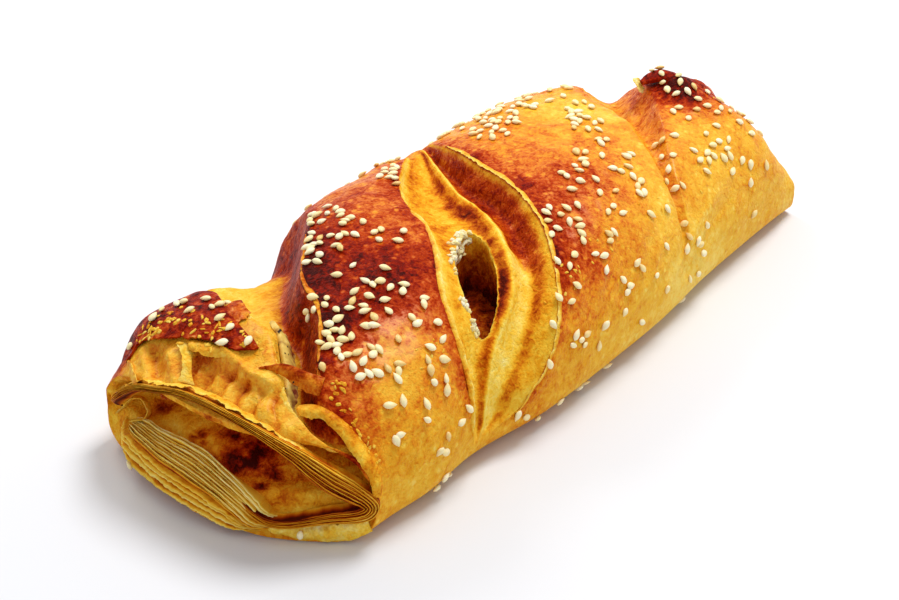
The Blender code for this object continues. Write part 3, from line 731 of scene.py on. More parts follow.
# Browner edges of the bands beside a slash: how strong, how wide, and the depth that shows them in full
EDGE_TONE, EDGE_TONE_WIDTH = 0.13, 4.5
EDGE_FULL_DEPTH = 3
# Depth of a slash that shows its own tone in full
SLASH_FULL_DEPTH = 1.5
# Bare crust over the open end: tone, lumps in it, first and last turn, how fast it fades there, how matte
BARE_TONE = 0.40
BARE_LUMPS = ((0.12, 7.0, 8), (0.08, 2.4, 9))
BARE_TURNS = (38, 150)
BARE_FADES = (6, 5)
BARE_MATTE = 0.35
# The far end's hollow
FAR_TONE, FAR_GLAZE = 0.34, 0.2
# Height under which no point of the crust lies
LOWEST = 0.15
# Kind of a ring in an end's hollow, where other rings have the number of their column
NEAR_KIND, FAR_KIND = -1, -2


def crust_turns():
    """Turns of the crust's rows: close together where they show, wide apart underneath."""
    fine = np.linspace(-90, 270, FINE_TURNS)
    point, _ = skin(np.zeros(fine.shape), fine)
    middle = (fine[1:] + fine[:-1]) / 2
    pace = np.where((middle < UNDER_TURNS[0]) | (middle > UNDER_TURNS[1]), UNDER_STEP, ROW_STEP)
    walk = np.concatenate([[0], np.cumsum(np.linalg.norm(np.diff(point, axis=0), axis=1) / pace)])
    count = int(walk[-1])
    return np.interp(np.arange(count) / count * walk[-1], walk, fine)


def recess(ring, steps, corner, inward, count):
    """Rings from an end's rim into its hollow, without the rim itself."""
    middle = ring[:, 1].mean()
    held = [ring]
    for step_over, step_under, width, over, under in steps:
        height = ring[:, 2] - corner
        z = corner + height * np.where(height > 0, over, under)
        step = np.interp(height, (-CORNER_BLEND, CORNER_BLEND), (step_under, step_over))
        held.append(np.stack([ring[:, 0] + inward * step, middle + (ring[:, 1] - middle) * width, z], -1))
    pole = held[-1].mean(axis=0) + np.array([inward * RECESS_POLE, 0, 0])
    held.append(pole + (held[-1] - pole) * POLE_RING)
    return dense(np.array(held), count + 1, 0)[1:]


def line_distance(points, line):
    """Distance from each point to a line of straight steps."""
    best = np.full(points.shape[:-1], 1e9)
    for a, b in zip(line[:-1], line[1:]):
        a, b = np.array(a, float), np.array(b, float)
        t = np.clip(((points - a) @ (b - a)) / ((b - a) @ (b - a)), 0, 1)
        best = np.minimum(best, np.linalg.norm(points - a - t[..., None] * (b - a), axis=-1))
    return best


def crust_net(turns):
    """Rings of the crust from the near hollow to the far one, their kinds and their shares of a column."""
    rings, kinds, shares = [], [], []
    for column in range(COLUMNS):
        count = SLASH_RINGS[column // 2] if column % 2 else BAND_RINGS[column // 2]
        for k in range(count):
            rings.append(surface(column, k / count, turns))
            kinds.append(column)
            shares.append(k / count)
    rings.append(surface(COLUMNS - 1, 1.0, turns))
    kinds.append(COLUMNS - 1)
    shares.append(1.0)
    near = recess(rings[0], NEAR_RECESS, NEAR_CORNER, 1, NEAR_RINGS)
    far = recess(rings[-1], FAR_RECESS, FAR_CORNER, -1, FAR_RINGS)
    kinds = np.array([NEAR_KIND] * NEAR_RINGS + kinds + [FAR_KIND] * FAR_RINGS)
    shares = np.array([0.0] * NEAR_RINGS + shares + [1.0] * FAR_RINGS)
    return np.concatenate([near[::-1], rings, far]), kinds, shares


def spotted(tone, points, spots):
    """Tone with round spots added: x, y, z, how far each one reaches and how strong it is."""
    for x, y, z, reach, change in spots:
        tone = tone + change * np.exp(-((points - (x, y, z)) ** 2).sum(-1) / reach ** 2)
    return tone


def crust_relief(net):
    """How far lumps, blisters and folds stand out of the crust, and its tone with them and the patches."""
    relief = mixed_lumps(net, BAND_LUMPS)
    tone = np.full(net.shape[:2], BAND_TONE)
    draw = random.Random(BLISTER_SEED)
    flat = net.reshape(-1, 3)
    for _ in range(BLISTERS):
        spot = flat[draw.randrange(len(flat))]
        size = draw.uniform(*BLISTER_SIZES)
        rise = BLISTER_RISE * size * draw.uniform(*BLISTER_RISES)
        swell = np.exp(-((net - spot) ** 2).sum(-1) / size ** 2)
        relief = relief + rise * swell
        tone = tone + BLISTER_TONE * draw.uniform(-1, 1) * swell
    # Folds add painted shade in their hollows and painted highlight on their ridges
    for width, height, change, line in FOLDS:
        crest = FOLD_CREST if width < FOLD_CREST_WIDTH else 2.0
        near_line = np.exp(-(line_distance(net, line) / width) ** crest)
        relief = relief + height * near_line
        tone = tone + change * near_line
    tone = spotted(tone, net, PATCHES)
    for start, run, change in LOW_TONES:
        tone = tone + change * np.clip((start - net[..., 2]) / run, 0, 1)
    return relief, tone


def brown_crust(net, kinds, shares, turns, tone):
    """Tone and glaze of the crust: the bands' own tone, darker beside the slashes, then the slashes, both
    hollows and the bare crust over the open end."""
    glaze = np.ones(net.shape[:2])
    edges = slash_edges(turns)
    bands = (kinds % 2 == 0)[:, None]
    for left, right, depth in edges:
        deep = np.clip(depth / EDGE_FULL_DEPTH, 0, 1)
        for edge in (left, right):
            beside = np.abs(net[..., 0] - edge[None, :])
            tone = tone + EDGE_TONE * deep * np.exp(-(beside / EDGE_TONE_WIDTH) ** 2) * bands
    for ring, (kind, share) in enumerate(zip(kinds, shares)):
        if kind < 0 or kind % 2 == 0:
            continue
        deep = np.clip(edges[kind // 2][2] / SLASH_FULL_DEPTH, 0, 1)
        inner, torn = slash_tone(kind // 2, share, net[ring], turns)
        tone[ring] = tone[ring] * (1 - deep) + inner * deep
        glaze[ring] = 1 - deep * torn
    near, far, first = kinds == NEAR_KIND, kinds == FAR_KIND, kinds == 0
    tone[near], glaze[near] = mouth_tone(net[near])
    tone[far], glaze[far] = FAR_TONE + 0.1 * lumps(net[far], 5, 4), FAR_GLAZE
    fade_in = (np.radians(turns) - math.radians(BARE_TURNS[0])) * BARE_FADES[0]
    fade_out = (math.radians(BARE_TURNS[1]) - np.radians(turns)) * BARE_FADES[1]
    bare = (np.clip(fade_in, 0, 1) * np.clip(fade_out, 0, 1))[None, :]
    bare_tone = BARE_TONE + mixed_lumps(net[first], BARE_LUMPS)
    # The bare crust takes the folds' painted shade and painted highlight as well
    for width, _, change, line in FOLDS:
        near_line = np.exp(-(line_distance(net[first], line) / width) ** 2)
        bare_tone = bare_tone + SKIN_FOLD_SHADE * change * near_line
    tone[first] = tone[first] * (1 - bare) + bare_tone * bare
    glaze[first] = 1 - BARE_MATTE * bare
    return tone, glaze


def make_crust():
    """The outer body: bands, slash valleys and both end hollows, with blisters, folds and browning."""
    turns = crust_turns()
    net, kinds, shares = crust_net(turns)
    relief, tone = crust_relief(net)
    tone, glaze = brown_crust(net, kinds, shares, turns, tone)
    normal = -grid_normals(np.concatenate([net[:, -1:], net, net[:, :1]], 1))[:, 1:-1]
    shows = np.clip(np.sin(np.radians(turns)) * RELIEF_FADE + RELIEF_START, 0, 1)
    net = net + normal * (relief * shows)[..., None]
    net[..., 2] = np.maximum(net[..., 2], LOWEST)
    off_floor = np.interp(net[..., 1], FOOT_SPOTS, FOOT_LIFT)
    off_floor = off_floor * np.clip((FOOT_START - net[..., 0]) / FOOT_RUN, 0, 1) ** 1.5
    net[..., 2] += off_floor * np.clip((FOOT_HEIGHT - net[..., 2]) / FOOT_HEIGHT, 0, 1)
    count, sides = net.shape[:2]
    marks = {"tone": tone.reshape(-1), "glaze": glaze.reshape(-1)}
    points, faces, marks = open_pit(net.reshape(-1, 3), np.array(tube_faces(count, sides)), marks)
    for ring, turned in ((0, True), (count - 1, False)):
        middle = len(points)
        points = np.concatenate([points, points[ring * sides:(ring + 1) * sides].mean(0)[None]])
        for mark in marks:
            marks[mark] = np.concatenate([marks[mark], [marks[mark][ring * sides]]])
        for k in range(sides):
            a, b = ring * sides + k, ring * sides + (k + 1) % sides
            faces.append((middle, b, a) if turned else (middle, a, b))
    crust = make_piece("crust", points, faces, PASTRY, marks, 70)
    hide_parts("pastry")


# Tone across each slash: share of the width and the tone there
SLASH_TONES = (
    ((0, 0.44), (0.12, 0.34), (0.3, 0.36), (0.42, 0.44), (0.6, 0.62), (0.72, 0.80), (0.85, 0.83),
     (1, 0.72)),
    ((0, 0.44), (0.02, 0.18), (0.06, 0.30), (0.14, 0.52), (0.24, 0.46), (0.5, 0.44), (0.64, 0.68),
     (0.685, 0.48), (0.70, 0.28), (0.74, 0.30), (0.80, 0.26), (0.855, 0.36), (0.875, 0.60), (0.93, 0.52),
     (1, 0.40)),
    ((0, 0.42), (0.15, 0.48), (0.4, 0.54), (0.6, 0.55), (0.85, 0.52), (1, 0.46)),
)
# Streaks in the slashes: how strong, how wide, step from the slash's number; and how much the first shows
SLASH_LUMPS = ((0.10, 5.0, 31), (0.07, 1.6, 35))
FIRST_WAVE = 0.6
# How far the first slash's crust is torn off up to a share of its width, and after it
FIRST_TORN, FIRST_WHOLE, FIRST_TORN_TO = 0.7, 0.1, 0.6
# Behind this turn, over the top, the middle and the third slash are browner: over how many degrees, and how
# strong
BROWN_TURN = 108
MIDDLE_BROWN, THIRD_BROWN = (10, 0.10), (16, 0.22)
# Up to this share of the middle slash's width
MIDDLE_BROWN_TO = 0.64
# The middle slash's inner wall is browned crust, darkened further by painted shade
# Middle slash's dark inner wall at some turns: share of the width where it starts and ends, how dark
DARK_WALL_FROM = ((100, 0.71), (112, 0.72), (122, 0.80), (132, 0.86))
DARK_WALL_TO = ((100, 0.99), (110, 0.965))
DARK_WALL_STRENGTH = ((116, 1.0), (130, 0.55), (146, 0.0))
DARK_WALL_FADES = (0.04, 0.05)
BROWN_SHADED_WALL_TONE = 0.77
# Brown spots in the same slash: x, y, z, how far they reach, how strong
MIDDLE_SPOTS = (
    (-29.5, -26.5, 37.5, 3.4, 0.34), (-34.0, -30.0, 35.2, 3.0, 0.38), (-39.0, -33.4, 32.4, 2.4, 0.30),
    (-22.0, -14.0, 40.0, 2.6, 0.30), (-25.5, -20.5, 39.4, 2.4, 0.20), (-9.0, -2.0, 39.5, 4.0, 0.14),
    (-56.0, -38.4, 21.5, 5.0, -0.10),
)


def slash_tone(number, share, points, turns):
    """Tone inside a slash, and how far its crust is torn off, at each turn."""
    at = slash_share(number, share, turns)
    tone = smooth_table(at, *zip(*SLASH_TONES[number]))
    wave = mixed_lumps(points, SLASH_LUMPS, number)
    if number == 0:
        return tone + FIRST_WAVE * wave, FIRST_TORN if share < FIRST_TORN_TO else FIRST_WHOLE
    if number == 1:
        run, strength = MIDDLE_BROWN
        tone = tone + strength * np.clip((BROWN_TURN - turns) / run, 0, 1) * (at < MIDDLE_BROWN_TO)
        # The dark inner wall: browned crust with painted shade
        dark_from, dark_to = (np.interp(turns, *zip(*rows)) for rows in (DARK_WALL_FROM, DARK_WALL_TO))
        burnt = np.clip((at - dark_from) / DARK_WALL_FADES[0], 0, 1)
        burnt = burnt * np.clip((dark_to - at) / DARK_WALL_FADES[1], 0, 1)
        burnt = burnt * np.interp(turns, *zip(*DARK_WALL_STRENGTH))
        tone = spotted(tone + (BROWN_SHADED_WALL_TONE - tone) * burnt, points, MIDDLE_SPOTS)
        return tone + wave * (1 - 0.5 * burnt), 0.95 - 0.85 * burnt
    run, strength = THIRD_BROWN
    upper = np.clip((BROWN_TURN - turns) / run, 0, 1)
    return tone + strength * upper * max(share - 0.5, 0) * 2 + wave, 0.7 * (1 - share) ** 0.5


# Spots in the open end, burnt ones and one of painted shade under the lip: x, y, z, how far they reach, how
# strong
MOUTH_SPOTS = (
    (-106, -8, 17, 9.0, 0.30), (-108.9, -5.2, 15.4, 1.7, 0.30), (-105.2, -9.9, 16.4, 1.6, 0.30),
    (-106.6, -16.0, 14.2, 1.6, 0.36), (-110.4, -1.9, 14.6, 1.1, 0.36), (-104.4, -1.7, 17.2, 1.5, 0.32),
    (-107.3, 6.4, 16.2, 1.3, 0.36), (-108.5, 9.1, 15.0, 0.8, 0.30), (-111.2, -15.4, 12.7, 1.2, 0.36),
    (-103.3, -23.1, 13.7, 1.2, 0.34), (-110.8, -23.2, 12.1, 1.4, 0.30), (-108.3, -9.4, 15.0, 1.4, 0.36),
    (-110.7, -7.3, 13.8, 1.0, 0.30), (-109.3, 4.3, 15.2, 0.7, 0.30), (-103.0, 23.6, 15.0, 2.6, 0.36),
    # The last spot is not burnt: it is painted shade under the upper lip
    (-104.0, 28.5, 14.0, 2.6, 0.40), (-109, 0, 26, 7.0, 0.14),
)
# A spot with a shorter reach than this has a sharp outline
SOFT_SPOT = 2
# Where the same hollow is baked red-brown: middle, how far it reaches
MOUTH_RED, RED_REACH = (-106, -9, 17), 12.0
MOUTH_TONE = 0.50
MOUTH_LUMPS = ((0.20, 6.0, 41), (0.16, 2.0, 42))


def mouth_tone(points):
    """Marks of the open end's hollow: gold, red-brown in the middle, with dark burnt spots and painted shade
    under the lip.
    """
    tone = MOUTH_TONE + mixed_lumps(points, MOUTH_LUMPS)
    for x, y, z, reach, change in MOUTH_SPOTS:
        far = np.sqrt(((points - (x, y, z)) ** 2).sum(-1)) / reach
        far = far + 0.18 * lumps(points, 1.2, 43)
        tone = tone + change * (np.clip(1.6 - far, 0, 1) if reach < SOFT_SPOT else np.exp(-far ** 2))
    far = ((points - MOUTH_RED) * (1, 0.8, 1)) ** 2
    return tone, np.exp(-far.sum(-1) / RED_REACH ** 2)


def pit_reach(at):
    """How far out points lie from the middle of the hole, in plan; 1 is its outline."""
    local = (at[..., :2] - HOLE_MIDDLE) @ HOLE_WAYS.T / HOLE_HALF
    pointed = np.abs(local[..., 0]) ** 1.7 + np.abs(local[..., 1]) ** 2
    return pointed ** 0.5 * (1 + 0.05 * lumps(at * (1, 1, 0), 2.0, 51))


def pit_rings(brink):
    """Rings of the hole's walls and lumpy floor below its brink, and tones that darken downwards as painted
    shade.
    """
    rings, tones = [], []
    for k in range(1, HOLE_RINGS + 1):
        share = k / HOLE_RINGS
        spread = np.array([1 - HOLE_NARROW * share, 1 + HOLE_FLARE * math.sin(share * 2.2)])
        ring = brink.copy()
        ring[:, :2] = HOLE_MIDDLE + ((brink[:, :2] - HOLE_MIDDLE) @ HOLE_WAYS.T * spread) @ HOLE_WAYS
        floor = HOLE_FLOOR + 1.2 * lumps(ring, 5.0, 52)
        ring[:, 2] = brink[:, 2] + (floor - brink[:, 2]) * share
        ring[:, :2] += 0.5 * share * np.stack([lumps(ring, 3.0, 53), lumps(ring, 3.0, 54)], -1)
        rings.append(ring)
        # Walls darken with depth: painted shade
        tones.append(0.34 + 0.66 * share ** 0.6 + 0.1 * lumps(ring, 2.5, 58))
    foot = rings[-1]
    for k in range(1, FLOOR_RINGS + 1):
        centre = foot.mean(0)
        ring = centre + (foot - centre) * (1 - k / (FLOOR_RINGS + 1))
        ring[:, 2] += 2.2 * np.clip(lumps(ring, 4.2, 55), 0, 1) + 0.4 * lumps(ring, 1.5, 56)
        rings.append(ring)
        tones.append(HOLE_FLOOR_SHADE + 0.12 * lumps(ring, 3.0, 57))
    return rings, tones


def open_pit(points, faces, marks):
    """Takes the crust's faces out of the slash's hole and builds walls and a lumpy floor below it."""
    top = points[:, 2] > HOLE_LEVEL
    inside = (pit_reach(points[faces].mean(1)) < 1) & top[faces].all(1)
    cut = dict.fromkeys((int(a), int(b)) for quad in faces[inside] for a, b in zip(quad, np.roll(quad, -1)))
    edge_after = {a: b for a, b in cut if (b, a) not in cut}
    loop = [next(iter(edge_after))]
    while edge_after[loop[-1]] != loop[0]:
        loop.append(edge_after[loop[-1]])
    loop = np.array(loop)
    for _ in range(BRINK_PULLS):
        at = points[loop]
        pull = 1 + BRINK_PULL * (1 / pit_reach(at) - 1)
        points[loop, :2] = HOLE_MIDDLE + (at[:, :2] - HOLE_MIDDLE) * pull[:, None]
    rings, tones = pit_rings(points[loop])
    first, count = len(points), len(loop)
    points = np.concatenate([points] + rings + [rings[-1].mean(0)[None]])
    marks["tone"][loop] = HOLE_RIM_TONE
    # The floor's middle point is dark too: painted shade
    marks["tone"] = np.concatenate([marks["tone"]] + tones + [[0.9]])
    marks["glaze"] = np.concatenate([marks["glaze"], np.full(count * len(rings) + 1, HOLE_GLAZE)])
    rows = [loop] + [first + k * count + np.arange(count) for k in range(len(rings))]
    faces = [tuple(face) for face in faces[~inside]]
    for above, below in zip(rows[:-1], rows[1:]):
        for k in range(count):
            after = (k + 1) % count
            faces.append((above[k], above[after], below[after], below[k]))
    centre = len(points) - 1
    faces += [(rows[-1][k], rows[-1][(k + 1) % count], centre) for k in range(count)]
    return points, faces, marks


make_crust()

# Open end

# Middle of the upper lip's edge, from the nose over the top and down to the fold at the front corner
LIP = ((-107.6, 37.3, 12.6), (-109.6, 32.2, 18.0), (-111.0, 26.5, 23.0), (-112.0, 20.6, 26.6),
       (-112.4, 14.9, 28.3), (-112.1, 7.4, 30.1), (-111.9, 0.0, 30.5), (-112.0, -8.2, 30.2),
       (-111.9, -16.6, 29.2), (-111.2, -22.6, 27.6), (-109.6, -27.0, 24.8), (-107.4, -30.2, 21.4),
       (-104.9, -33.2, 18.2), (-102.2, -36.4, 15.4), (-100.2, -38.8, 13.2), (-99.4, -39.9, 11.2),
       (-100.4, -38.9, 9.4), (-102.8, -36.2, 8.7), (-105.6, -32.8, 8.5), (-108.4, -28.9, 7.5),
       (-110.9, -25.0, 6.4), (-113.0, -21.0, 6.2), (-114.9, -16.4, 8.4), (-115.4, -10.5, 10.6))
# Way out of the stack, and height of it, at each of these points
LIP_OUT = ((-0.8, 0.6, 0), (-0.9, 0.4, 0.2), (-1, 0, 0.4), (-1, 0, 0.5), (-1, 0, 0.6), (-1, 0, 0.6),
           (-1, 0, 0.6), (-1, -0.1, 0.6), (-1, -0.2, 0.6), (-1, -0.4, 0.5), (-0.8, -0.6, 0.4),
           (-0.76, -0.65, 0.3), (-0.76, -0.65, 0.2), (-0.76, -0.65, 0.1), (-0.76, -0.65, 0),
           (-0.76, -0.65, 0), (-0.76, -0.65, 0), (-0.76, -0.65, 0), (-0.76, -0.65, 0), (-0.8, -0.6, 0),
           (-0.85, -0.5, 0), (-0.9, -0.4, 0), (-0.95, -0.3, 0), (-1, 0, 0))
LIP_THICK = (2.6, 2.4, 2.1, 1.9, 1.8, 1.8, 1.9, 2.1, 2.4, 3.0, 4.2, 5.4, 6.0, 5.6, 4.6, 4.4, 4.4, 3.8,
             3.2, 2.6, 2.2, 2.0, 1.8, 1.5)
# Layers of a stack: share of its height, how far it stands out, tone
LIP_LAYERS = ((0.8, 0.1, 0.76), (0.5, 0.5, 0.56), (0.7, 0.0, 0.78), (0.4, 0.5, 0.54), (0.7, 0.1, 0.76),
              (0.5, 0.6, 0.50), (0.6, 0.0, 0.72), (0.5, 0.4, 0.46), (0.7, 0.1, 0.66), (0.4, 0.5, 0.40),
              (0.6, 0.1, 0.60), (0.4, 0.4, 0.38), (0.5, -0.2, 0.48))
# Lower stack: top edge, lower edge, and foot of the end below it
STACK_TOP = ((-108.2, 29.0, 12.9), (-108.8, 24.5, 13.2), (-109.5, 18.7, 13.5), (-109.9, 13.0, 13.9),
             (-110.6, 3.1, 14.4), (-112.4, -7.0, 13.6), (-113.3, -14.6, 12.3), (-113.2, -19.4, 9.9),
             (-111.8, -23.0, 7.6), (-110.2, -26.0, 6.0))
STACK_LOW = ((-109.6, 34.0, 11.0), (-111.4, 30.3, 11.2), (-114.9, 21.3, 11.2), (-117.0, 12.6, 11.0),
             (-118.2, 1.8, 10.4), (-118.2, -6.0, 9.0), (-117.0, -12.3, 6.2), (-115.6, -16.0, 3.6),
             (-113.8, -20.4, 3.4), (-111.6, -24.2, 4.2))
STACK_FOOT = ((-108.6, 36.0, 7.6), (-110.0, 32.4, 5.6), (-113.5, 23.4, 3.2), (-116.2, 13.2, 3.2),
              (-117.8, 2.2, 3.4), (-117.5, -5.6, 2.6), (-116.6, -11.8, 1.6), (-115.5, -15.4, 1.1),
              (-114.8, -17.6, 0.9))
STACK_LAYERS = ((0.5, 0.3, 0.48), (0.3, 0.0, 0.33), (0.4, 0.5, 0.18), (0.3, -0.3, 0.41), (0.3, 0.3, 0.25),
                (0.5, 0.6, 0.15), (0.3, -0.2, 0.43), (0.4, 0.2, 0.21), (0.3, -0.3, 0.38), (0.5, 0.4, 0.11),
                (0.3, -0.1, 0.34), (0.3, 0.3, 0.20), (0.3, -0.3, 0.36), (0.5, 0.6, 0.08), (0.3, 0.0, 0.30),
                (0.3, 0.3, 0.16), (0.3, -0.2, 0.33), (0.6, 0.8, 0.05), (0.3, 0.2, 0.25), (0.5, 0.6, 0.10))
FOOT_LAYERS = ((0.6, 0.2, 0.54), (0.7, 0.9, 0.28), (0.4, -0.6, 0.49), (0.8, 0.6, 0.21), (0.4, -0.9, 0.54),
               (0.7, 0.4, 0.25), (0.4, -0.5, 0.46), (0.5, 0.2, 0.30))
# Thin sheets: rows run along the sheet, from the edge that is held to the edge that is free
STRIP = (
    ((-104.0, 36.5, 22.5), (-105.2, 35.4, 22.6), (-106.8, 33.0, 23.2)),
    ((-98.5, 38.3, 27.0), (-101.5, 35.6, 26.8), (-105.4, 32.0, 27.3)),
    ((-94.5, 37.0, 31.5), (-99.0, 33.4, 32.0), (-102.9, 30.0, 31.2)),
    ((-90.0, 35.0, 33.6), (-97.4, 28.5, 35.4), (-102.9, 23.0, 34.7)),
    ((-87.5, 31.0, 36.2), (-96.4, 21.3, 38.1), (-101.9, 15.8, 36.9)),
    ((-84.0, 27.5, 38.0), (-94.8, 15.4, 39.7), (-101.2, 9.0, 38.3)),
    ((-84.0, 21.5, 39.6), (-94.6, 9.2, 40.4), (-101.2, 2.5, 38.6)),
    ((-89.0, 13.8, 40.2), (-96.3, 3.2, 40.1), (-99.9, -1.0, 38.9)),
    ((-93.4, 5.3, 39.9), (-96.7, -1.1, 39.8), (-98.1, -3.2, 39.1)),
    ((-95.2, -0.1, 39.5), (-96.2, -2.9, 39.3), (-96.3, -3.9, 39.1)))
UNDERFOLD = (
    ((-99.9, 17.0, 36.0), (-102.2, 14.1, 36.2), (-103.4, 12.2, 35.3)),
    ((-100.0, 12.2, 37.0), (-102.3, 9.3, 36.9), (-103.6, 7.7, 35.7)),
    ((-100.0, 7.2, 37.6), (-102.0, 4.9, 37.4), (-103.0, 3.9, 36.2)),
    ((-99.8, 3.6, 37.8), (-101.2, 1.8, 37.8), (-101.6, 1.2, 36.8)),
    ((-99.0, 0.4, 38.0), (-99.7, -0.5, 38.1), (-99.6, -0.7, 37.6)))
WEB_BACK = (
    ((-104.4, 34.2, 25.6), (-105.9, 31.9, 27.1), (-107.3, 29.7, 28.1)),
    ((-107.0, 30.8, 26.0), (-109.1, 27.4, 27.7), (-110.4, 25.3, 28.7)),
    ((-109.8, 27.3, 26.0), (-111.3, 24.4, 27.6), (-112.3, 22.6, 28.6)),
    ((-111.0, 25.0, 24.8), (-112.0, 23.3, 26.0), (-112.6, 22.1, 26.6)))
WEB_FRONT = (
    ((-100.2, 12.8, 35.3), (-101.8, 15.6, 36.1), (-103.4, 18.0, 36.3)),
    ((-103.6, 11.6, 34.4), (-104.5, 12.9, 35.0), (-105.3, 14.2, 35.1)),
    ((-106.1, 9.6, 33.3), (-106.8, 10.6, 33.9), (-107.5, 11.6, 33.9)),
    ((-107.5, 8.2, 32.0), (-108.4, 9.5, 32.6), (-109.3, 10.8, 32.6)),
    ((-108.6, 6.4, 30.8), (-109.7, 8.9, 31.4), (-110.7, 11.2, 31.1)))
TORN_WALL = (
    ((-91.0, 15.0, 39.2), (-93.0, 9.6, 40.4), (-94.4, 4.6, 40.1)),
    ((-86.2, 15.0, 40.4), (-89.9, 8.8, 41.2), (-91.8, 4.3, 40.5)),
    ((-83.5, 13.5, 40.4), (-87.2, 8.0, 41.2), (-88.2, 5.2, 41.0)))
FLAKE = (
    ((-94.6, -22.9, 37.2), (-97.1, -23.7, 36.0), (-98.0, -23.8, 33.6)),
    ((-96.6, -19.4, 38.3), (-98.2, -20.4, 36.7), (-98.8, -20.6, 34.2)),
    ((-97.3, -16.4, 39.0), (-98.9, -17.2, 37.5), (-99.5, -17.2, 35.3)),
    ((-98.4, -13.2, 39.3), (-99.3, -13.9, 38.4), (-99.8, -13.9, 36.8)),
    ((-99.8, -10.7, 38.7), (-100.3, -11.1, 38.0), (-100.5, -11.3, 37.1)),
    ((-100.7, -8.7, 38.0), (-100.9, -8.9, 37.8), (-101.0, -9.0, 37.3)),
    ((-100.9, -7.6, 37.4), (-101.0, -7.7, 37.2), (-101.1, -7.7, 37.0)))
WRAP = (
    ((-99.2, -20.2, 30.0), (-100.6, -19.8, 31.2), (-102.8, -20.8, 31.6), (-103.4, -22.8, 30.0)),
    ((-98.2, -23.6, 31.2), (-99.8, -23.0, 32.0), (-101.9, -23.6, 31.6), (-102.0, -24.9, 29.7)),
    ((-97.6, -26.8, 31.3), (-99.5, -26.4, 32.1), (-101.0, -26.9, 31.7), (-100.8, -27.4, 30.0)),
    ((-97.4, -30.6, 29.9), (-99.6, -30.4, 30.9), (-101.1, -30.5, 30.0), (-100.8, -30.4, 28.4)),
    ((-96.9, -34.0, 27.3), (-99.3, -34.1, 28.3), (-100.8, -34.0, 27.3), (-100.4, -33.7, 25.9)),
    ((-96.6, -36.9, 24.3), (-99.0, -37.0, 25.4), (-101.2, -37.3, 25.2), (-101.0, -36.8, 23.8)),
    ((-96.4, -39.0, 22.0), (-98.6, -39.2, 23.0), (-100.7, -39.3, 22.6), (-100.6, -38.7, 21.2)),
    ((-96.4, -40.4, 19.2), (-98.3, -41.0, 19.9), (-100.1, -40.8, 19.5), (-100.1, -40.1, 18.2)),
    ((-96.8, -41.2, 16.0), (-98.5, -41.9, 16.4), (-100.1, -41.5, 16.6), (-100.0, -40.8, 15.8)),
    ((-97.6, -41.4, 12.8), (-99.0, -41.8, 13.4), (-99.9, -41.3, 14.0), (-99.8, -40.6, 13.6)))
TUCK = (
    ((-99.6, -40.4, 3.4), (-100.8, -40.0, 6.2), (-100.6, -39.4, 8.2)),
    ((-102.4, -37.6, 1.6), (-103.6, -36.8, 4.6), (-102.8, -36.6, 8.0)),
    ((-104.6, -34.6, 1.0), (-106.0, -34.0, 4.4), (-105.0, -33.8, 7.8)),
    ((-106.8, -31.6, 0.8), (-108.0, -31.0, 4.0), (-107.2, -30.8, 7.4)),
    ((-108.8, -28.4, 0.9), (-110.0, -27.8, 3.8), (-109.2, -27.8, 6.8)),
    ((-110.6, -25.4, 1.2), (-111.8, -24.8, 3.6), (-111.2, -24.8, 5.8)),
    ((-112.4, -22.2, 1.8), (-113.2, -21.8, 3.6), (-112.8, -21.6, 5.2)),
    ((-113.2, -20.2, 2.8), (-113.8, -19.8, 3.8), (-113.6, -19.6, 4.8)))
# Edge of the small pocket beside the nose, and steps from it down its wall
POCKET = ((-109.6, 33.6, 12.8), (-107.6, 33.4, 13.8), (-106.0, 32.4, 15.2), (-105.0, 30.6, 16.4),
          (-105.0, 27.6, 16.2), (-106.0, 25.6, 14.8), (-107.6, 25.8, 13.2), (-109.4, 29.2, 12.4))
POCKET_STEPS = ((0.0, 0.0, 0.0), (-1.3, -0.8, 0.8), (-2.6, -1.6, 1.6))
# Steps from the lip to a pale torn skin over it, and to a brown one that hangs down inside it
LIP_SKIN = ((2.6, 0.0, 0.9), (0.2, 0.0, 1.9), (-1.6, -0.2, 2.7))
INNER_LIP = ((1.8, 0.0, -0.8), (0.2, -0.1, -1.9), (0.6, -0.2, -3.6))


def stepped_net(line, steps):
    """A net of points: a line moved by each of a few steps."""
    return np.stack([np.array(line) + step for step in steps], 1)


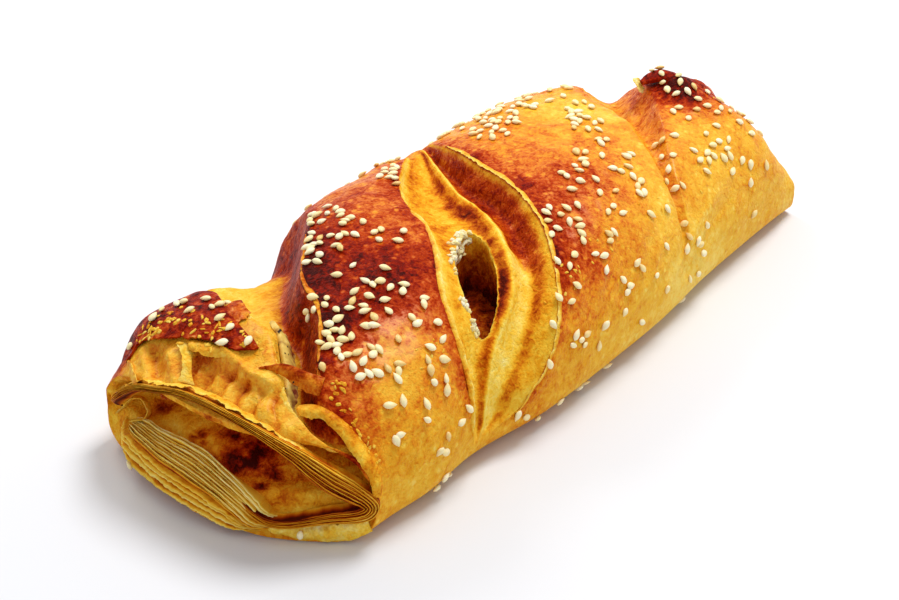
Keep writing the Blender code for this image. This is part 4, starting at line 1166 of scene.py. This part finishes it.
# Sheets of the open end: name, net, thickness, slot, rows and columns, how ragged, how ruffled, seed, tone
# at the held and the free edge, glaze, and how thick the ends stay
END_SHEETS = (
    ("burnt_strip", STRIP, 1.6, "crust", (110, 26), 0.12, 0.25, 91, (0.83, 0.80), 1.0, 0.15),
    ("strip_underfold", UNDERFOLD, 0.8, "layers", (90, 14), 0.3, 0.7, 92, (0.54, 0.40), 0.4),
    ("back_web", WEB_BACK, 0.6, "layers", (60, 12), 0.25, 0.5, 93, (0.44, 0.34), 0.5),
    ("front_web", WEB_FRONT, 0.45, "layers", (60, 14), 0.3, 0.5, 94, (0.36, 0.24), 0.2),
    ("torn_wall", TORN_WALL, 0.7, "layers", (50, 16), 0.35, 0.7, 95, (0.80, 0.62), 0.8),
    ("slash_flake", FLAKE, 0.6, "crust", (70, 16), 0.15, 0.4, 96, (0.76, 0.64), 0.6),
    ("wrap_edge", WRAP, 0.7, "crust", (150, 26), 0.22, 0.5, 97, (0.62, 0.36), 0.3),
    ("front_tuck", TUCK, 0.5, "layers", (130, 24), 0.45, 1.9, 98, (0.42, 0.16)),
    ("nose_pocket", stepped_net(POCKET, POCKET_STEPS), 0.6, "layers", (80, 12), 0.35, 0.5, 99,
     (0.50, 0.30)),
    ("lip_skin", stepped_net(LIP[1:12], LIP_SKIN), 0.36, "layers", (260, 14), 0.75, 0.7, 100,
     (0.42, 0.26), 0.3),
    ("inner_lip", stepped_net(LIP[4:12], INNER_LIP), 0.5, "layers", (220, 16), 0.6, 0.8, 105,
     (0.62, 0.74), 0.3),
)


def make_near_end():
    """The torn layers, folds and thin sheets of the open end and of the bare skin over it."""
    bundle("lip_edge", LIP, LIP_OUT, LIP_THICK, LIP_LAYERS, LAYERED, 1.9, 1.4, 0.4, 0.5, 61,
           420)
    top, low, foot = (np.array(edge) for edge in (STACK_TOP, STACK_LOW, STACK_FOOT))
    for name, upper, under, layers, seed in (("lower_stack", top, low, STACK_LAYERS, 71),
                                             ("bottom_sheets", low[:-1], foot, FOOT_LAYERS, 81)):
        rise = upper - under
        ahead = np.gradient(under + upper, axis=0)
        bundle(name, (upper + under) / 2, np.cross(ahead, rise), np.linalg.norm(rise, axis=1), layers,
               LAYERED, 1.2, 2.6, 0.8, 1.0, seed)
    for name, net, thick, slot, *rest in END_SHEETS:
        sheet(name, net, thick, PASTRY, slot, *rest)


make_near_end()

# Crisp edges of two slashes: name, number of the slash, 1 for its right side, first and last turn, reach
# over the slash, and tones of the held and the free side
CRISP_EDGES = (
    ("first_left_edge", 0, 0, 60, 118, 0.9, (0.30, 0.16)),
    ("first_right_edge", 0, 1, 72, 122, 0.5, (0.66, 0.56)),
    ("middle_left_edge", 1, 0, 78, 186, 0.5, (0.52, 0.12)),
    ("middle_right_edge", 1, 1, 66, 186, 1.0, (0.58, 0.14)),
)
# Steps across such an edge: share of the reach over the slash or, before the edge, millimetres; and height
EDGE_STEPS = ((-1.3, 0.0), (-0.4, 0.28), (0.5, 0.26), (1.0, -0.05))
# Turns over which it eases in and out, and where it is lowest
EDGE_EASE, EDGE_LEAST = 8, 0.15
# Points along its net, and the seed of the first
EDGE_POINTS = 60
EDGE_SEED = 200


def make_crisp_edges():
    """A thin flaky lip of crust along both sides of the first and the middle slash."""
    for seed, (name, number, right, first, last, reach, tones) in enumerate(CRISP_EDGES, EDGE_SEED):
        turns = np.linspace(first, last, EDGE_POINTS)
        left_x, right_x, _ = slash_edges(turns)[number]
        edge, way = (right_x, -1.0) if right else (left_x, 1.0)
        ease = np.clip(np.minimum(turns - first, last - turns) / EDGE_EASE, EDGE_LEAST, 1)
        rows = []
        for step, lift in EDGE_STEPS:
            step = step * reach if step > 0 else step
            point, out = skin(edge + way * step * ease, turns)
            rows.append(point + out * (lift * ease)[:, None])
        sheet(name, np.stack(rows, 1), 0.26, PASTRY, "crust", (320, 10), 0.6, 0.35, seed, tones, 0.5, 0.1)


make_crisp_edges()

# Curl

# Burnt tip that rises from the last band and bends over the third slash: x, y, z, and half its width and
# thickness there
CURL = ((101.5, -7.0, 27.0, 6.6, 2.2), (100.8, -7.0, 33.0, 7.2, 2.4), (98.0, -6.5, 38.5, 7.2, 2.4),
        (94.3, -5.0, 42.5, 6.2, 2.3), (90, -3.2, 45.6, 4.2, 1.9), (86, -1.2, 45.9, 2.6, 1.3),
        (82.6, 0.6, 45.0, 1.3, 0.7))
# Line that it bends round
CURL_AXIS = (0.25, 1.0, 0.0)
CURL_SIDES, CURL_STEPS = 36, 70
# Lumps on it: how high, how wide, seed
CURL_LUMPS = ((0.35, 3.5, 101), (0.15, 1.4, 102))
# Tone at its root and how much darker its tip is, and the shares of its length where that starts and over
# which it comes
CURL_TONE, CURL_BURNT = 0.46, 0.38
BURNT_START, BURNT_RUN = 0.20, 0.34
# Pale flake at its end, as a net like the sheets' nets
TIP_FLAKE = (
    ((85.4, 3.2, 44.8), (83.4, 3.4, 45.6), (81.4, 3.4, 46.4)),
    ((84.6, 2.2, 44.0), (82.2, 2.2, 44.8), (80.2, 2.0, 45.8)),
    ((84.0, 1.0, 43.2), (82.0, 0.8, 43.4), (80.2, 0.4, 44.0)),
    ((83.8, 0.2, 42.6), (82.6, -0.2, 42.0), (81.4, -0.4, 41.4)))


def make_curl():
    """The dark tip of the last band, bent over the third slash, with a pale flake at its end."""
    rows = dense(np.array(CURL, float), CURL_STEPS, 0)
    ahead = np.gradient(rows[:, :3], axis=0)
    ahead /= np.linalg.norm(ahead, axis=1, keepdims=True)
    across = np.cross(np.cross(np.array(CURL_AXIS), ahead), ahead)
    across /= np.linalg.norm(across, axis=1, keepdims=True)
    over = np.cross(ahead, across)
    angles = np.arange(CURL_SIDES) * 2 * math.pi / CURL_SIDES
    rings = (rows[:, None, :3] + across[:, None] * (rows[:, 3, None] * np.cos(angles))[..., None]
             + over[:, None] * (rows[:, 4, None] * np.sin(angles))[..., None])
    away = rings - rings.mean(1, keepdims=True)
    away /= np.linalg.norm(away, axis=-1, keepdims=True)
    rings = rings + away * mixed_lumps(rings, CURL_LUMPS)[..., None]
    along = np.linspace(0, 1, CURL_STEPS)[:, None]
    burnt = np.clip((along - BURNT_START) / BURNT_RUN, 0, 1)
    tone = CURL_TONE + CURL_BURNT * burnt + 0.05 * lumps(rings, 3.0, 103)
    tube("curled_tip", rings, PASTRY, {"tone": tone, "glaze": 1.0})
    sheet("tip_flake", TIP_FLAKE, 0.4, PASTRY, "layers", (60, 12), 0.35, 0.8, 104, (0.30, 0.12))


make_curl()

# Filling

# Core inside the pastry: x, half width, lowest z, highest z
CORE = ((-93, 9, 15, 23), (-88, 15, 12, 26), (-76, 19, 9.5, 28), (-58, 21, 9, 31), (-42, 25, 9, 35),
        (-20, 29, 9, 36), (15, 29, 9, 35.5), (45, 26, 9.5, 33), (60, 20, 12, 29), (66, 11, 16, 24))
# How far it stays inside these, the power that makes its section squarer, and its crumbs' height and width
CORE_GAP = 0.6
CORE_SQUARE = 0.8
CORE_CRUMBS, CRUMB_WIDTH = 0.35, 2.6
CORE_SIDES, CORE_STEPS = 90, 200
# Dent under the hole: height that is left there, where it ends and fades in the hole's own measure, and the
# height over the dent that nothing reaches
CORE_DENT = 20.0
DENT_REACH, DENT_FADE = 1.9, 0.5
DENT_CLEAR = 30
# Strip of filling in the first slash, as a net like the sheets' nets
SLASH_FILLING = (
    ((-80.6, 6.6, 35.6), (-81.6, 5.0, 35.0), (-79.8, 4.6, 32.6)),
    ((-83.6, 2.9, 37.2), (-84.6, 1.0, 36.6), (-82.2, 0.6, 34.2)),
    ((-87.0, -1.2, 37.9), (-86.6, -3.2, 36.4), (-85.0, -3.6, 34.2)),
    ((-91.0, -5.6, 36.9), (-90.4, -7.6, 35.4), (-88.6, -8.0, 33.2)),
    ((-95.4, -10.6, 35.2), (-95.0, -12.0, 34.0), (-93.0, -12.6, 31.8)),
    ((-99.6, -14.8, 33.8), (-99.4, -15.8, 32.8), (-97.6, -16.6, 30.8)),
    ((-103.6, -18.0, 32.4), (-103.4, -18.6, 31.6), (-102.4, -19.4, 30.4)))


def make_filling():
    """The crumbly core, pressed down under the hole, and the strip of it that shows in the first slash."""
    angles = np.arange(CORE_SIDES) * 2 * math.pi / CORE_SIDES
    table = np.array(CORE, float)
    x = np.linspace(table[0, 0] + CORE_GAP, table[-1, 0] - CORE_GAP, CORE_STEPS)
    half, low, high = (smooth_table(x, table[:, 0], table[:, k]) for k in (1, 2, 3))
    lift = np.sign(np.sin(angles)) * np.abs(np.sin(angles)) ** CORE_SQUARE
    rings = np.stack([np.broadcast_to(x[:, None], (CORE_STEPS, CORE_SIDES)),
                      (half - CORE_GAP)[:, None] * np.cos(angles),
                      ((high + low) / 2)[:, None] + ((high - low) / 2 - CORE_GAP)[:, None] * lift], -1)
    crumbs = np.stack([lumps(rings, CRUMB_WIDTH, seed) for seed in (111, 112, 113)], -1)
    rings = rings + CORE_CRUMBS * crumbs
    near = np.clip((DENT_REACH - pit_reach(rings)) / DENT_FADE, 0, 1)
    rings[..., 2] = np.minimum(rings[..., 2], CORE_DENT + (1 - near) * DENT_CLEAR)
    core = tube("cheese_core", rings, CHEESE, {"tone": 0.1})
    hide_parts("cheese_filling")
    # Its tone, darker than the pale cream and darkest at its lower edge, is partly painted shade
    sheet("slash_filling", SLASH_FILLING, 1.5, CHEESE, "cheese", (100, 26), 0.1, 0.6, 121, (0.66, 0.78))


make_filling()

# Small golden scabs of crust: middle, reach, how many, smallest and largest size
SCABS = (
    ((-98.5, 20.0, 37.5), (2.6, 6.5, 1.0), 34, 0.4, 1.2),
    ((-101.5, 29.0, 33.0), (1.8, 3.5, 1.5), 18, 0.4, 1.1),
    ((-98.5, 9.0, 39.2), (1.8, 4.0, 0.6), 18, 0.4, 1.2),
    ((-96.5, 1.0, 39.8), (1.6, 2.5, 0.3), 7, 0.4, 1.0),
    ((-94.0, -26.5, 35.6), (0.9, 1.4, 1.6), 8, 0.4, 1.0),
    ((-96.6, -32.0, 30.2), (0.8, 2.6, 3.0), 14, 0.3, 0.9),
    ((-96.5, -38.0, 23.0), (0.8, 1.6, 3.0), 10, 0.3, 0.8),
    ((-20.0, -38.0, 34.0), (6.0, 3.0, 3.0), 18, 0.3, 0.8),
    ((100.0, -8.0, 42.0), (5.0, 4.0, 1.5), 10, 0.3, 0.8),
    ((-62.0, -34.0, 36.0), (6.0, 4.0, 3.0), 12, 0.3, 0.7),
    ((20.0, -38.0, 36.0), (20.0, 3.0, 3.0), 22, 0.3, 0.7),
)
# White crumbs on the rim of the hole, and dark specks in the first slash, in the same way
CRUMBS = (
    ((-20.6, -8.4, 40.0), (1.7, 1.0, 0.5), 18, 0.7, 1.5),
    ((-25.0, -10.9, 39.2), (1.9, 1.2, 0.5), 20, 0.7, 1.5),
    ((-31.0, -13.9, 38.6), (2.2, 0.8, 0.5), 14, 0.6, 1.2),
    ((-36.0, -18.2, 38.2), (1.6, 1.0, 0.4), 7, 0.4, 0.9),
    ((-44.8, -27.0, 34.8), (0.8, 1.6, 0.6), 14, 0.6, 1.2),
    ((-46.2, -30.6, 32.6), (0.8, 1.2, 0.8), 16, 0.6, 1.2),
    ((-46.6, -33.0, 30.9), (0.7, 0.8, 0.6), 12, 0.5, 1.1),
)
SPECKS = (
    ((-86.0, -1.4, 37.0), (0.4, 0.4, 0.3), 3, 0.3, 0.8),
    ((-96.0, -11.0, 35.0), (0.4, 0.7, 0.3), 4, 0.3, 0.8),
    ((-99.8, -14.6, 33.4), (0.4, 0.5, 0.3), 3, 0.3, 0.8),
    ((-91.0, -6.0, 36.4), (1.5, 1.8, 0.5), 6, 0.2, 0.4),
)
# Subdivisions of such a lump, its width over its length, how uneven it is and how finely, and how far it may
# settle from the place that was drawn for it
LUMP_SHAPE = 2
LUMP_NARROW = 0.6
LUMP_UNEVEN, UNEVEN_FINE = 0.45, 1.3
LUMP_OFF = 5
# Height of the line that they come in towards, and how far out they start
PARCEL_AXIS = 14.0
DROP = 14.0


def settle(at, way):
    """Where a point comes to rest on the pieces made so far, coming in against a way, and their normal."""
    graph = bpy.context.evaluated_depsgraph_get()
    start = Vector((np.asarray(at) + np.asarray(way) * DROP) * MM)
    met, rest, normal, _, _, _ = bpy.context.scene.ray_cast(graph, start, Vector(-np.asarray(way)))
    return (np.array(rest) / MM, normal) if met else (None, None)


def scatter(name, clusters, finish, tones, height, glaze, seed):
    """Low lumps, each set on whatever lies under it, joined in one mesh."""
    bpy.context.view_layer.update()
    ball = bmesh.new()
    bmesh.ops.create_icosphere(ball, subdivisions=LUMP_SHAPE, radius=1.0)
    shape = np.array([v.co[:] for v in ball.verts])
    triangles = [tuple(v.index for v in face.verts) for face in ball.faces]
    ball.free()
    draw = random.Random(seed)
    points, faces, shades = [], [], []
    for middle, reach, count, low, high in clusters:
        for _ in range(count):
            at = np.array([draw.gauss(m, r) for m, r in zip(middle, reach)])
            axis = np.array((at[0], 0.0, PARCEL_AXIS))
            rest, normal = settle(at, (at - axis) / np.linalg.norm(at - axis))
            if rest is None or np.linalg.norm(rest - at) > LUMP_OFF:
                continue
            size = np.array([draw.uniform(low, high), draw.uniform(low, high) * LUMP_NARROW,
                             draw.uniform(*height)])
            side = normal.orthogonal().normalized()
            bearing = draw.uniform(0, 2 * math.pi)
            ahead = side * math.cos(bearing) + normal.cross(side) * math.sin(bearing)
            turned = np.array([ahead, normal.cross(ahead), normal])
            body = shape * (1 + LUMP_UNEVEN * lumps(shape * UNEVEN_FINE + at, 1.0, seed)[:, None])
            first = len(points) * len(shape)
            points.append(rest + (body * size) @ turned)
            faces.extend(tuple(first + i for i in face) for face in triangles)
            shades.append(np.full(len(shape), draw.uniform(*tones)))
    marks = {"tone": np.concatenate(shades), "glaze": np.full(len(points) * len(shape), glaze)}
    make_piece(name, np.concatenate(points), faces, finish, marks)


scatter("crust_scabs", SCABS, PASTRY, (0.25, 0.55), (0.14, 0.30), 0.3, 131)
scatter("rim_cheese", CRUMBS, CHEESE, (0.1, 0.45), (0.5, 0.9), 0.0, 132)
scatter("filling_specks", SPECKS, CHEESE, (1.3, 1.5), (0.10, 0.20), 0.0, 133)

# Sesame seeds

# Length, width and thickness, and how much the whole seed and its width alone vary
SEED_SIZE = (3.25, 2.12, 1.35)
SEED_SCALES, SEED_WIDTHS = (0.86, 1.1), (0.88, 1.08)
# Fullness of the drop at its thick end, how much less it is at its thin one, power of its curve, and where
# its points are
SEED_FULL, SEED_THIN, SEED_POWER = 1.12, 0.42, 0.72
SEED_POINTS = (-0.5, 0.53)
# How unevenly seeds lie, lengthwise and sideways, how deep they sink in, and the least room between two
SEED_TIP, SEED_ROLL = 0.10, 0.16
SEED_SINK = 0.14
SEED_SPACE = 1.7
# Least slope of the crust against the way in, and tries for a place on a band
SEED_LEAN = 0.3
SEED_TRIES = 60
SEED_RINGS, SEED_SIDES = 7, 10
# Tone: how much it varies, share of toasted seeds, how much darker these are, and how much the thin tip is
SEED_TONES, TOASTED_SHARE, TOASTED_TONE, TIP_TONE = (0.0, 0.45), 0.12, 0.35, 0.25
SEED_DRAW = 23
# Room between a seed and the edges of a slash, the near end and the far end
SLASH_ROOM, NEAR_ROOM, FAR_ROOM = 1.4, 5, 2
# Where they lie on the front and the top: x and turn
SEED_PLACES = (
    (-57.9, 101), (-64.6, 100), (-64.8, 103), (-62.9, 104), (-69.0, 100), (-63.0, 108), (-59.4, 110),
    (-61.5, 112), (-75.5, 92), (-74.3, 95), (-76.4, 93), (-76.1, 91), (-76.5, 96), (-77.8, 94),
    (-77.3, 92), (-76.6, 100), (-72.3, 102), (-74.8, 103), (-68.5, 105), (-72.1, 106), (-73.6, 108),
    (-67.0, 110), (-69.4, 114), (-58.7, 119), (-60.5, 121), (-79.1, 103), (-81.5, 102), (-84.2, 104),
    (-82.4, 105), (-83.0, 107), (-85.3, 107), (-83.4, 110), (-85.7, 110), (-81.5, 107), (-87.6, 105),
    (-87.6, 108), (-87.1, 112), (-88.1, 115), (-86.5, 116), (-81.4, 111), (-76.9, 112), (-75.6, 114),
    (-73.7, 112), (-80.6, 119), (-79.6, 122), (-82.0, 122), (-84.5, 118), (-85.4, 122), (-88.1, 121),
    (-88.6, 126), (-86.6, 127), (-84.6, 129), (-81.8, 130), (-78.4, 132), (-80.0, 134), (-81.5, 136),
    (-92.8, 113), (-73.7, 124), (-66.2, 122), (-66.2, 125), (-61.3, 130), (-63.3, 137), (-68.5, 136),
    (-71.4, 139), (-72.5, 143), (-66.5, 144), (-73.3, 148), (-69.1, 151), (-70.4, 155), (-83.9, 145),
    (-87.5, 143), (-78.3, 153), (-79.9, 159), (-88.2, 157), (-89.7, 158), (-64.1, 171), (-67.6, 174),
    (-73.3, 175), (-77.2, 178), (-75.0, 180), (-74.4, 196), (-69.5, 215), (-76.3, 211), (-29.2, 158),
    (-20.7, 153), (-24.2, 148), (-16.3, 148), (2.1, 159), (4.8, 164), (3.2, 166), (10.1, 156), (11.4, 160),
    (17.4, 168), (-3.3, 150), (-10.5, 136), (-3.7, 141), (-1.3, 144), (-17.0, 134), (-14.6, 139),
    (0.4, 174), (10.1, 182), (-9.7, 173), (23.3, 179), (25.6, 159), (-34.7, 173), (-24.1, 172),
    (-22.7, 168), (-20.7, 172), (-18.0, 171), (-19.4, 175), (-12.4, 180), (-3.1, 214), (-13.8, 215),
    (-16.8, 216), (-27.8, 204), (-46.1, 185), (-42.8, 191), (-36.3, 210), (39.0, 182), (45.1, 184),
    (40.6, 218), (-5.0, 114), (-2.5, 113), (-2.7, 115), (-2.0, 118), (1.4, 117), (5.1, 119), (-7.0, 117),
    (-10.9, 123), (-7.1, 122), (-2.5, 123), (0.4, 124), (-1.1, 127), (-2.8, 130), (-4.2, 133), (70.8, 67),
    (69.4, 71), (59.4, 78), (56.5, 85), (59.4, 86), (57.3, 89), (50.7, 86), (49.2, 88), (50.7, 89),
    (46.2, 89), (48.3, 90), (48.2, 91), (42.1, 91), (42.4, 92), (39.3, 92), (45.1, 90), (44.6, 91),
    (48.6, 92), (49.7, 94), (46.5, 94), (41.1, 95), (43.5, 97), (38.7, 100), (40.5, 102), (37.0, 102),
    (26.5, 100), (28.3, 102), (30.8, 107), (20.2, 104), (24.7, 104), (23.1, 106), (18.7, 107), (13.5, 106),
    (13.7, 104), (28.1, 114), (29.4, 117), (33.7, 117), (37.6, 113), (40.5, 113), (18.9, 114), (14.7, 111),
    (31.2, 122), (31.8, 126), (29.0, 127), (29.0, 131), (27.1, 130), (9.2, 112), (14.8, 120), (20.2, 123),
    (14.1, 128), (15.3, 129), (10.9, 129), (15.5, 133), (24.9, 141), (32.9, 144), (7.3, 138), (5.1, 137),
    (3.9, 140), (85.0, 107), (85.2, 112), (73.4, 106), (74.8, 112), (79.4, 124), (58.2, 115), (61.8, 117),
    (57.5, 113), (72.6, 125), (74.9, 132), (78.8, 134), (73.3, 133), (70.7, 132), (70.4, 135), (66.1, 134),
    (67.8, 137), (75.5, 138), (61.6, 129), (62.4, 131), (74.5, 142), (71.4, 141), (60.7, 135), (63.9, 138),
    (79.4, 148), (82.4, 153), (90.7, 159), (52.8, 121), (53.4, 125), (49.1, 129), (72.1, 150), (60.3, 142),
    (79.6, 162), (41.4, 133), (47.0, 140), (44.8, 139), (81.1, 180), (39.6, 157), (50.1, 166), (39.2, 164),
    (43.6, 170), (45.6, 173), (37.0, 169), (48.1, 179),)
# Where more lie behind the top: x, turn, reach along x, reach in turn, how many
SEED_PATCHES = (
    (-62, 78, 12, 12, 26), (-50, 62, 10, 12, 18), (-46, 86, 8, 8, 12), (-54, 42, 14, 12, 10),
    (28, 74, 14, 12, 24), (48, 70, 12, 10, 18), (30, 50, 20, 14, 18), (-8, 70, 10, 10, 12),
    (0, 48, 16, 14, 12), (60, 52, 10, 14, 8), (102, 62, 5, 14, 10), (110, 88, 5, 12, 6),
    (30, 28, 30, 10, 10), (88, 88, 3, 6, 3), (-30, 28, 24, 10, 6), (94, 118, 8, 10, 6),
    (100, 132, 6, 8, 4), (104, 108, 5, 8, 5),
)
# Single seeds on the burnt strip, at the open end and by the curl: x, y, z
SEED_SPOTS = (
    (-96.8, 29.4, 34.1), (-93.5, 30.3, 34.9), (-91.3, 27.4, 36.9), (-90.2, 26.1, 37.6), (-93.9, 21.3, 39.3),
    (-88.1, 21.3, 40.0), (-91.1, 16.4, 40.7), (-89.2, 15.7, 41.1), (-86.5, 16.3, 41.2), (-84.1, 15.7, 41.5),
    (-94.1, 10.7, 40.9), (-95.9, 5.9, 40.9), (-100.2, 4.4, 39.3), (-97.3, -1.3, 40.3), (-102.4, 34.4, 28.4),
    (-114.6, 23.6, 4.6), (-111.4, -27.6, 3.4),
    (86.9, -3.4, 44.9), (88.9, -7.4, 43.5), (86.6, -9.4, 43.5), (89.2, -12.4, 42.2), (83.2, -8.0, 43.4),
    (82.6, -11.2, 43.2), (85.0, -13.1, 43.0), (93.0, -15.4, 41.0), (77.0, -16.0, 42.9), (79.5, -20.0, 42.0),
    (93.0, -20.0, 40.0), (74.0, -21.2, 42.0),
)
# They come in towards a line inside the parcel: x of its two ends, and its height
SPOT_LINE, SPOT_HEIGHT = (-100.0, 110.0), 18.0
# Under this height they come in nearly level: how their way is stretched, and what is added to it
FOOT_SEEDS, FOOT_STRETCH, FOOT_SHIFT = 10, (4, 0.3, 0), (-20, 0, 4)


def on_band(x, turn):
    """Whether a place lies on a band, clear of a slash's edge and of the bare near end."""
    turns = np.array([float(turn)])
    edges = slash_edges(turns)
    for left, right, depth in edges:
        if depth[0] > 0.3 and left[0] - SLASH_ROOM < x < right[0] + SLASH_ROOM:
            return False
    if not rim(turns, NEAR_RIM)[0] + NEAR_ROOM < x < rim(turns, FAR_RIM)[0] - FAR_ROOM:
        return False
    return x > edges[0][0][0]


def seed_shape():
    """Points and faces of one seed, a drop of length, width and thickness 1."""
    rings = []
    angles = np.arange(SEED_SIDES) * 2 * math.pi / SEED_SIDES
    for k in range(1, SEED_RINGS):
        share = k / SEED_RINGS
        fat = math.sin(math.pi * share) ** SEED_POWER * (SEED_FULL - SEED_THIN * share)
        rings.append(np.stack([np.full(SEED_SIDES, share - 0.5), 0.5 * fat * np.cos(angles),
                               0.5 * fat * np.sin(angles)], -1))
    shape = np.concatenate(rings + [[(x, 0, 0)] for x in SEED_POINTS])
    start, end, last = len(shape) - 2, len(shape) - 1, (SEED_RINGS - 2) * SEED_SIDES
    faces = tube_faces(SEED_RINGS - 1, SEED_SIDES)
    faces += [(start, (k + 1) % SEED_SIDES, k) for k in range(SEED_SIDES)]
    faces += [(end, last + k, last + (k + 1) % SEED_SIDES) for k in range(SEED_SIDES)]
    return shape, faces


def make_seeds():
    """Every seed as a flattened drop, joined in one mesh."""
    shape, seed_faces = seed_shape()
    draw = random.Random(SEED_DRAW)
    placed, points, faces, tones = [], [], [], []

    def add(spot, way):
        """A seed where this spot settles, unless another is too near."""
        at, out = settle(spot, way)
        if at is None:
            return
        out = np.array(out)
        if out @ way < SEED_LEAN or any(np.linalg.norm(at - other) < SEED_SPACE for other in placed):
            return
        placed.append(at)
        size = np.array(SEED_SIZE) * draw.uniform(*SEED_SCALES) * (1, draw.uniform(*SEED_WIDTHS), 1)
        bearing = draw.uniform(0, 2 * math.pi)
        tip, roll = draw.gauss(0, SEED_TIP), draw.gauss(0, SEED_ROLL)
        side = Vector(out).orthogonal().normalized()
        ahead = (side * math.cos(bearing) + Vector(out).cross(side) * math.sin(bearing)).normalized()
        ahead = (ahead + Vector(out) * tip).normalized()
        wide = Vector(out).cross(ahead).normalized()
        wide = (wide + Vector(out) * roll).normalized()
        turned = np.array([ahead, wide, ahead.cross(wide).normalized()])
        first = len(points) * len(shape)
        points.append(at + out * (size[2] / 2 - SEED_SINK) + (shape * size) @ turned)
        faces.extend(tuple(first + i for i in face) for face in seed_faces)
        toasted = draw.uniform(*SEED_TONES) + (TOASTED_TONE if draw.random() < TOASTED_SHARE else 0)
        tones.append(toasted + TIP_TONE * np.clip(shape[:, 0] * 2, 0, 1))

    bpy.context.view_layer.update()
    for spot in SEED_SPOTS:
        away = np.array(spot) - (min(max(spot[0], SPOT_LINE[0]), SPOT_LINE[1]), 0.0, SPOT_HEIGHT)
        if spot[2] < FOOT_SEEDS:
            away = away * FOOT_STRETCH + FOOT_SHIFT
        add(np.array(spot), away / np.linalg.norm(away))
    for place in SEED_PLACES:
        add(*crust_point(*place))
    for x0, turn0, reach_x, reach_turn, count in SEED_PATCHES:
        for _ in range(count):
            for _ in range(SEED_TRIES):
                place = draw.gauss(x0, reach_x / 2), draw.gauss(turn0, reach_turn / 2)
                if on_band(*place):
                    add(*crust_point(*place))
                    break
    make_piece("sesame_seeds", np.concatenate(points), faces, SEED,
               {"tone": np.concatenate(tones)}, 80)


make_seeds()

# Camera, light and floor

# Point that the camera looks at, its angle round the parcel from -Y, its angle over the floor, its distance
AIM = (3.5, 14.5, 0.0)
CAMERA_AZIMUTH, CAMERA_ELEVATION, CAMERA_DISTANCE = -53.0, 30.0, 540.0
# Width of the picture and focal length in pixels, width of the sensor, and the depths that show, in metres
IMAGE_WIDTH = 899
FOCAL_PIXELS = 1850
SENSOR = 36.0
CLIP = (0.01, 20.0)
# Soft lights over the parcel: name, place, aim, width, watts; and the strength of the white room
LIGHTS = (
    ("key_light", (380, -60, 900), (0, 0, 0), 420, 7.0),
    ("side_light", (250, 700, 600), (0, 0, 20), 400, 2.4),
)
ROOM_LIGHT = 0.62
FLOOR_SIDE, FLOOR_CELLS = 6000.0, 8


def make_camera():
    """A camera like the one that took the parcel from its open end, aimed near its middle."""
    camera = bpy.data.cameras.new("camera")
    camera.sensor_width = SENSOR
    camera.lens = FOCAL_PIXELS / IMAGE_WIDTH * SENSOR
    camera.clip_start, camera.clip_end = CLIP
    holder = bpy.data.objects.new("camera", camera)
    bpy.context.scene.collection.objects.link(holder)
    azimuth, elevation = math.radians(CAMERA_AZIMUTH), math.radians(CAMERA_ELEVATION)
    back = Vector((math.sin(azimuth) * math.cos(elevation), -math.cos(azimuth) * math.cos(elevation),
                   math.sin(elevation)))
    holder.location = (Vector(AIM) + back * CAMERA_DISTANCE) * MM
    holder.rotation_mode = "QUATERNION"
    holder.rotation_quaternion = (-back).to_track_quat("-Z", "Y")
    bpy.context.scene.camera = holder


def make_light(name, place, aim, width, watts):
    """A round soft light at a place, turned to its aim."""
    lamp = bpy.data.lights.new(name, "AREA")
    lamp.shape = "DISK"
    lamp.size = width * MM
    lamp.energy = watts
    holder = bpy.data.objects.new(name, lamp)
    bpy.context.scene.collection.objects.link(holder)
    holder.location = Vector(place) * MM
    holder.rotation_mode = "QUATERNION"
    holder.rotation_quaternion = (Vector(aim) - Vector(place)).to_track_quat("-Z", "Y")


def make_studio():
    """A white room with soft lights and a pale floor."""
    world = bpy.data.worlds.new("soft_white_room")
    world.use_nodes = True
    background = world.node_tree.nodes["Background"]
    background.inputs["Color"].default_value = (1.0, 1.0, 1.0, 1)
    background.inputs["Strength"].default_value = ROOM_LIGHT
    bpy.context.scene.world = world
    for light in LIGHTS:
        make_light(*light)
    bpy.ops.mesh.primitive_grid_add(x_subdivisions=FLOOR_CELLS, y_subdivisions=FLOOR_CELLS,
                                    size=FLOOR_SIDE * MM)
    floor = bpy.context.object
    floor.name = "floor"
    floor.data.materials.append(floor_finish())
    bpy.context.scene.view_settings.view_transform = "Standard"


make_camera()
make_studio()
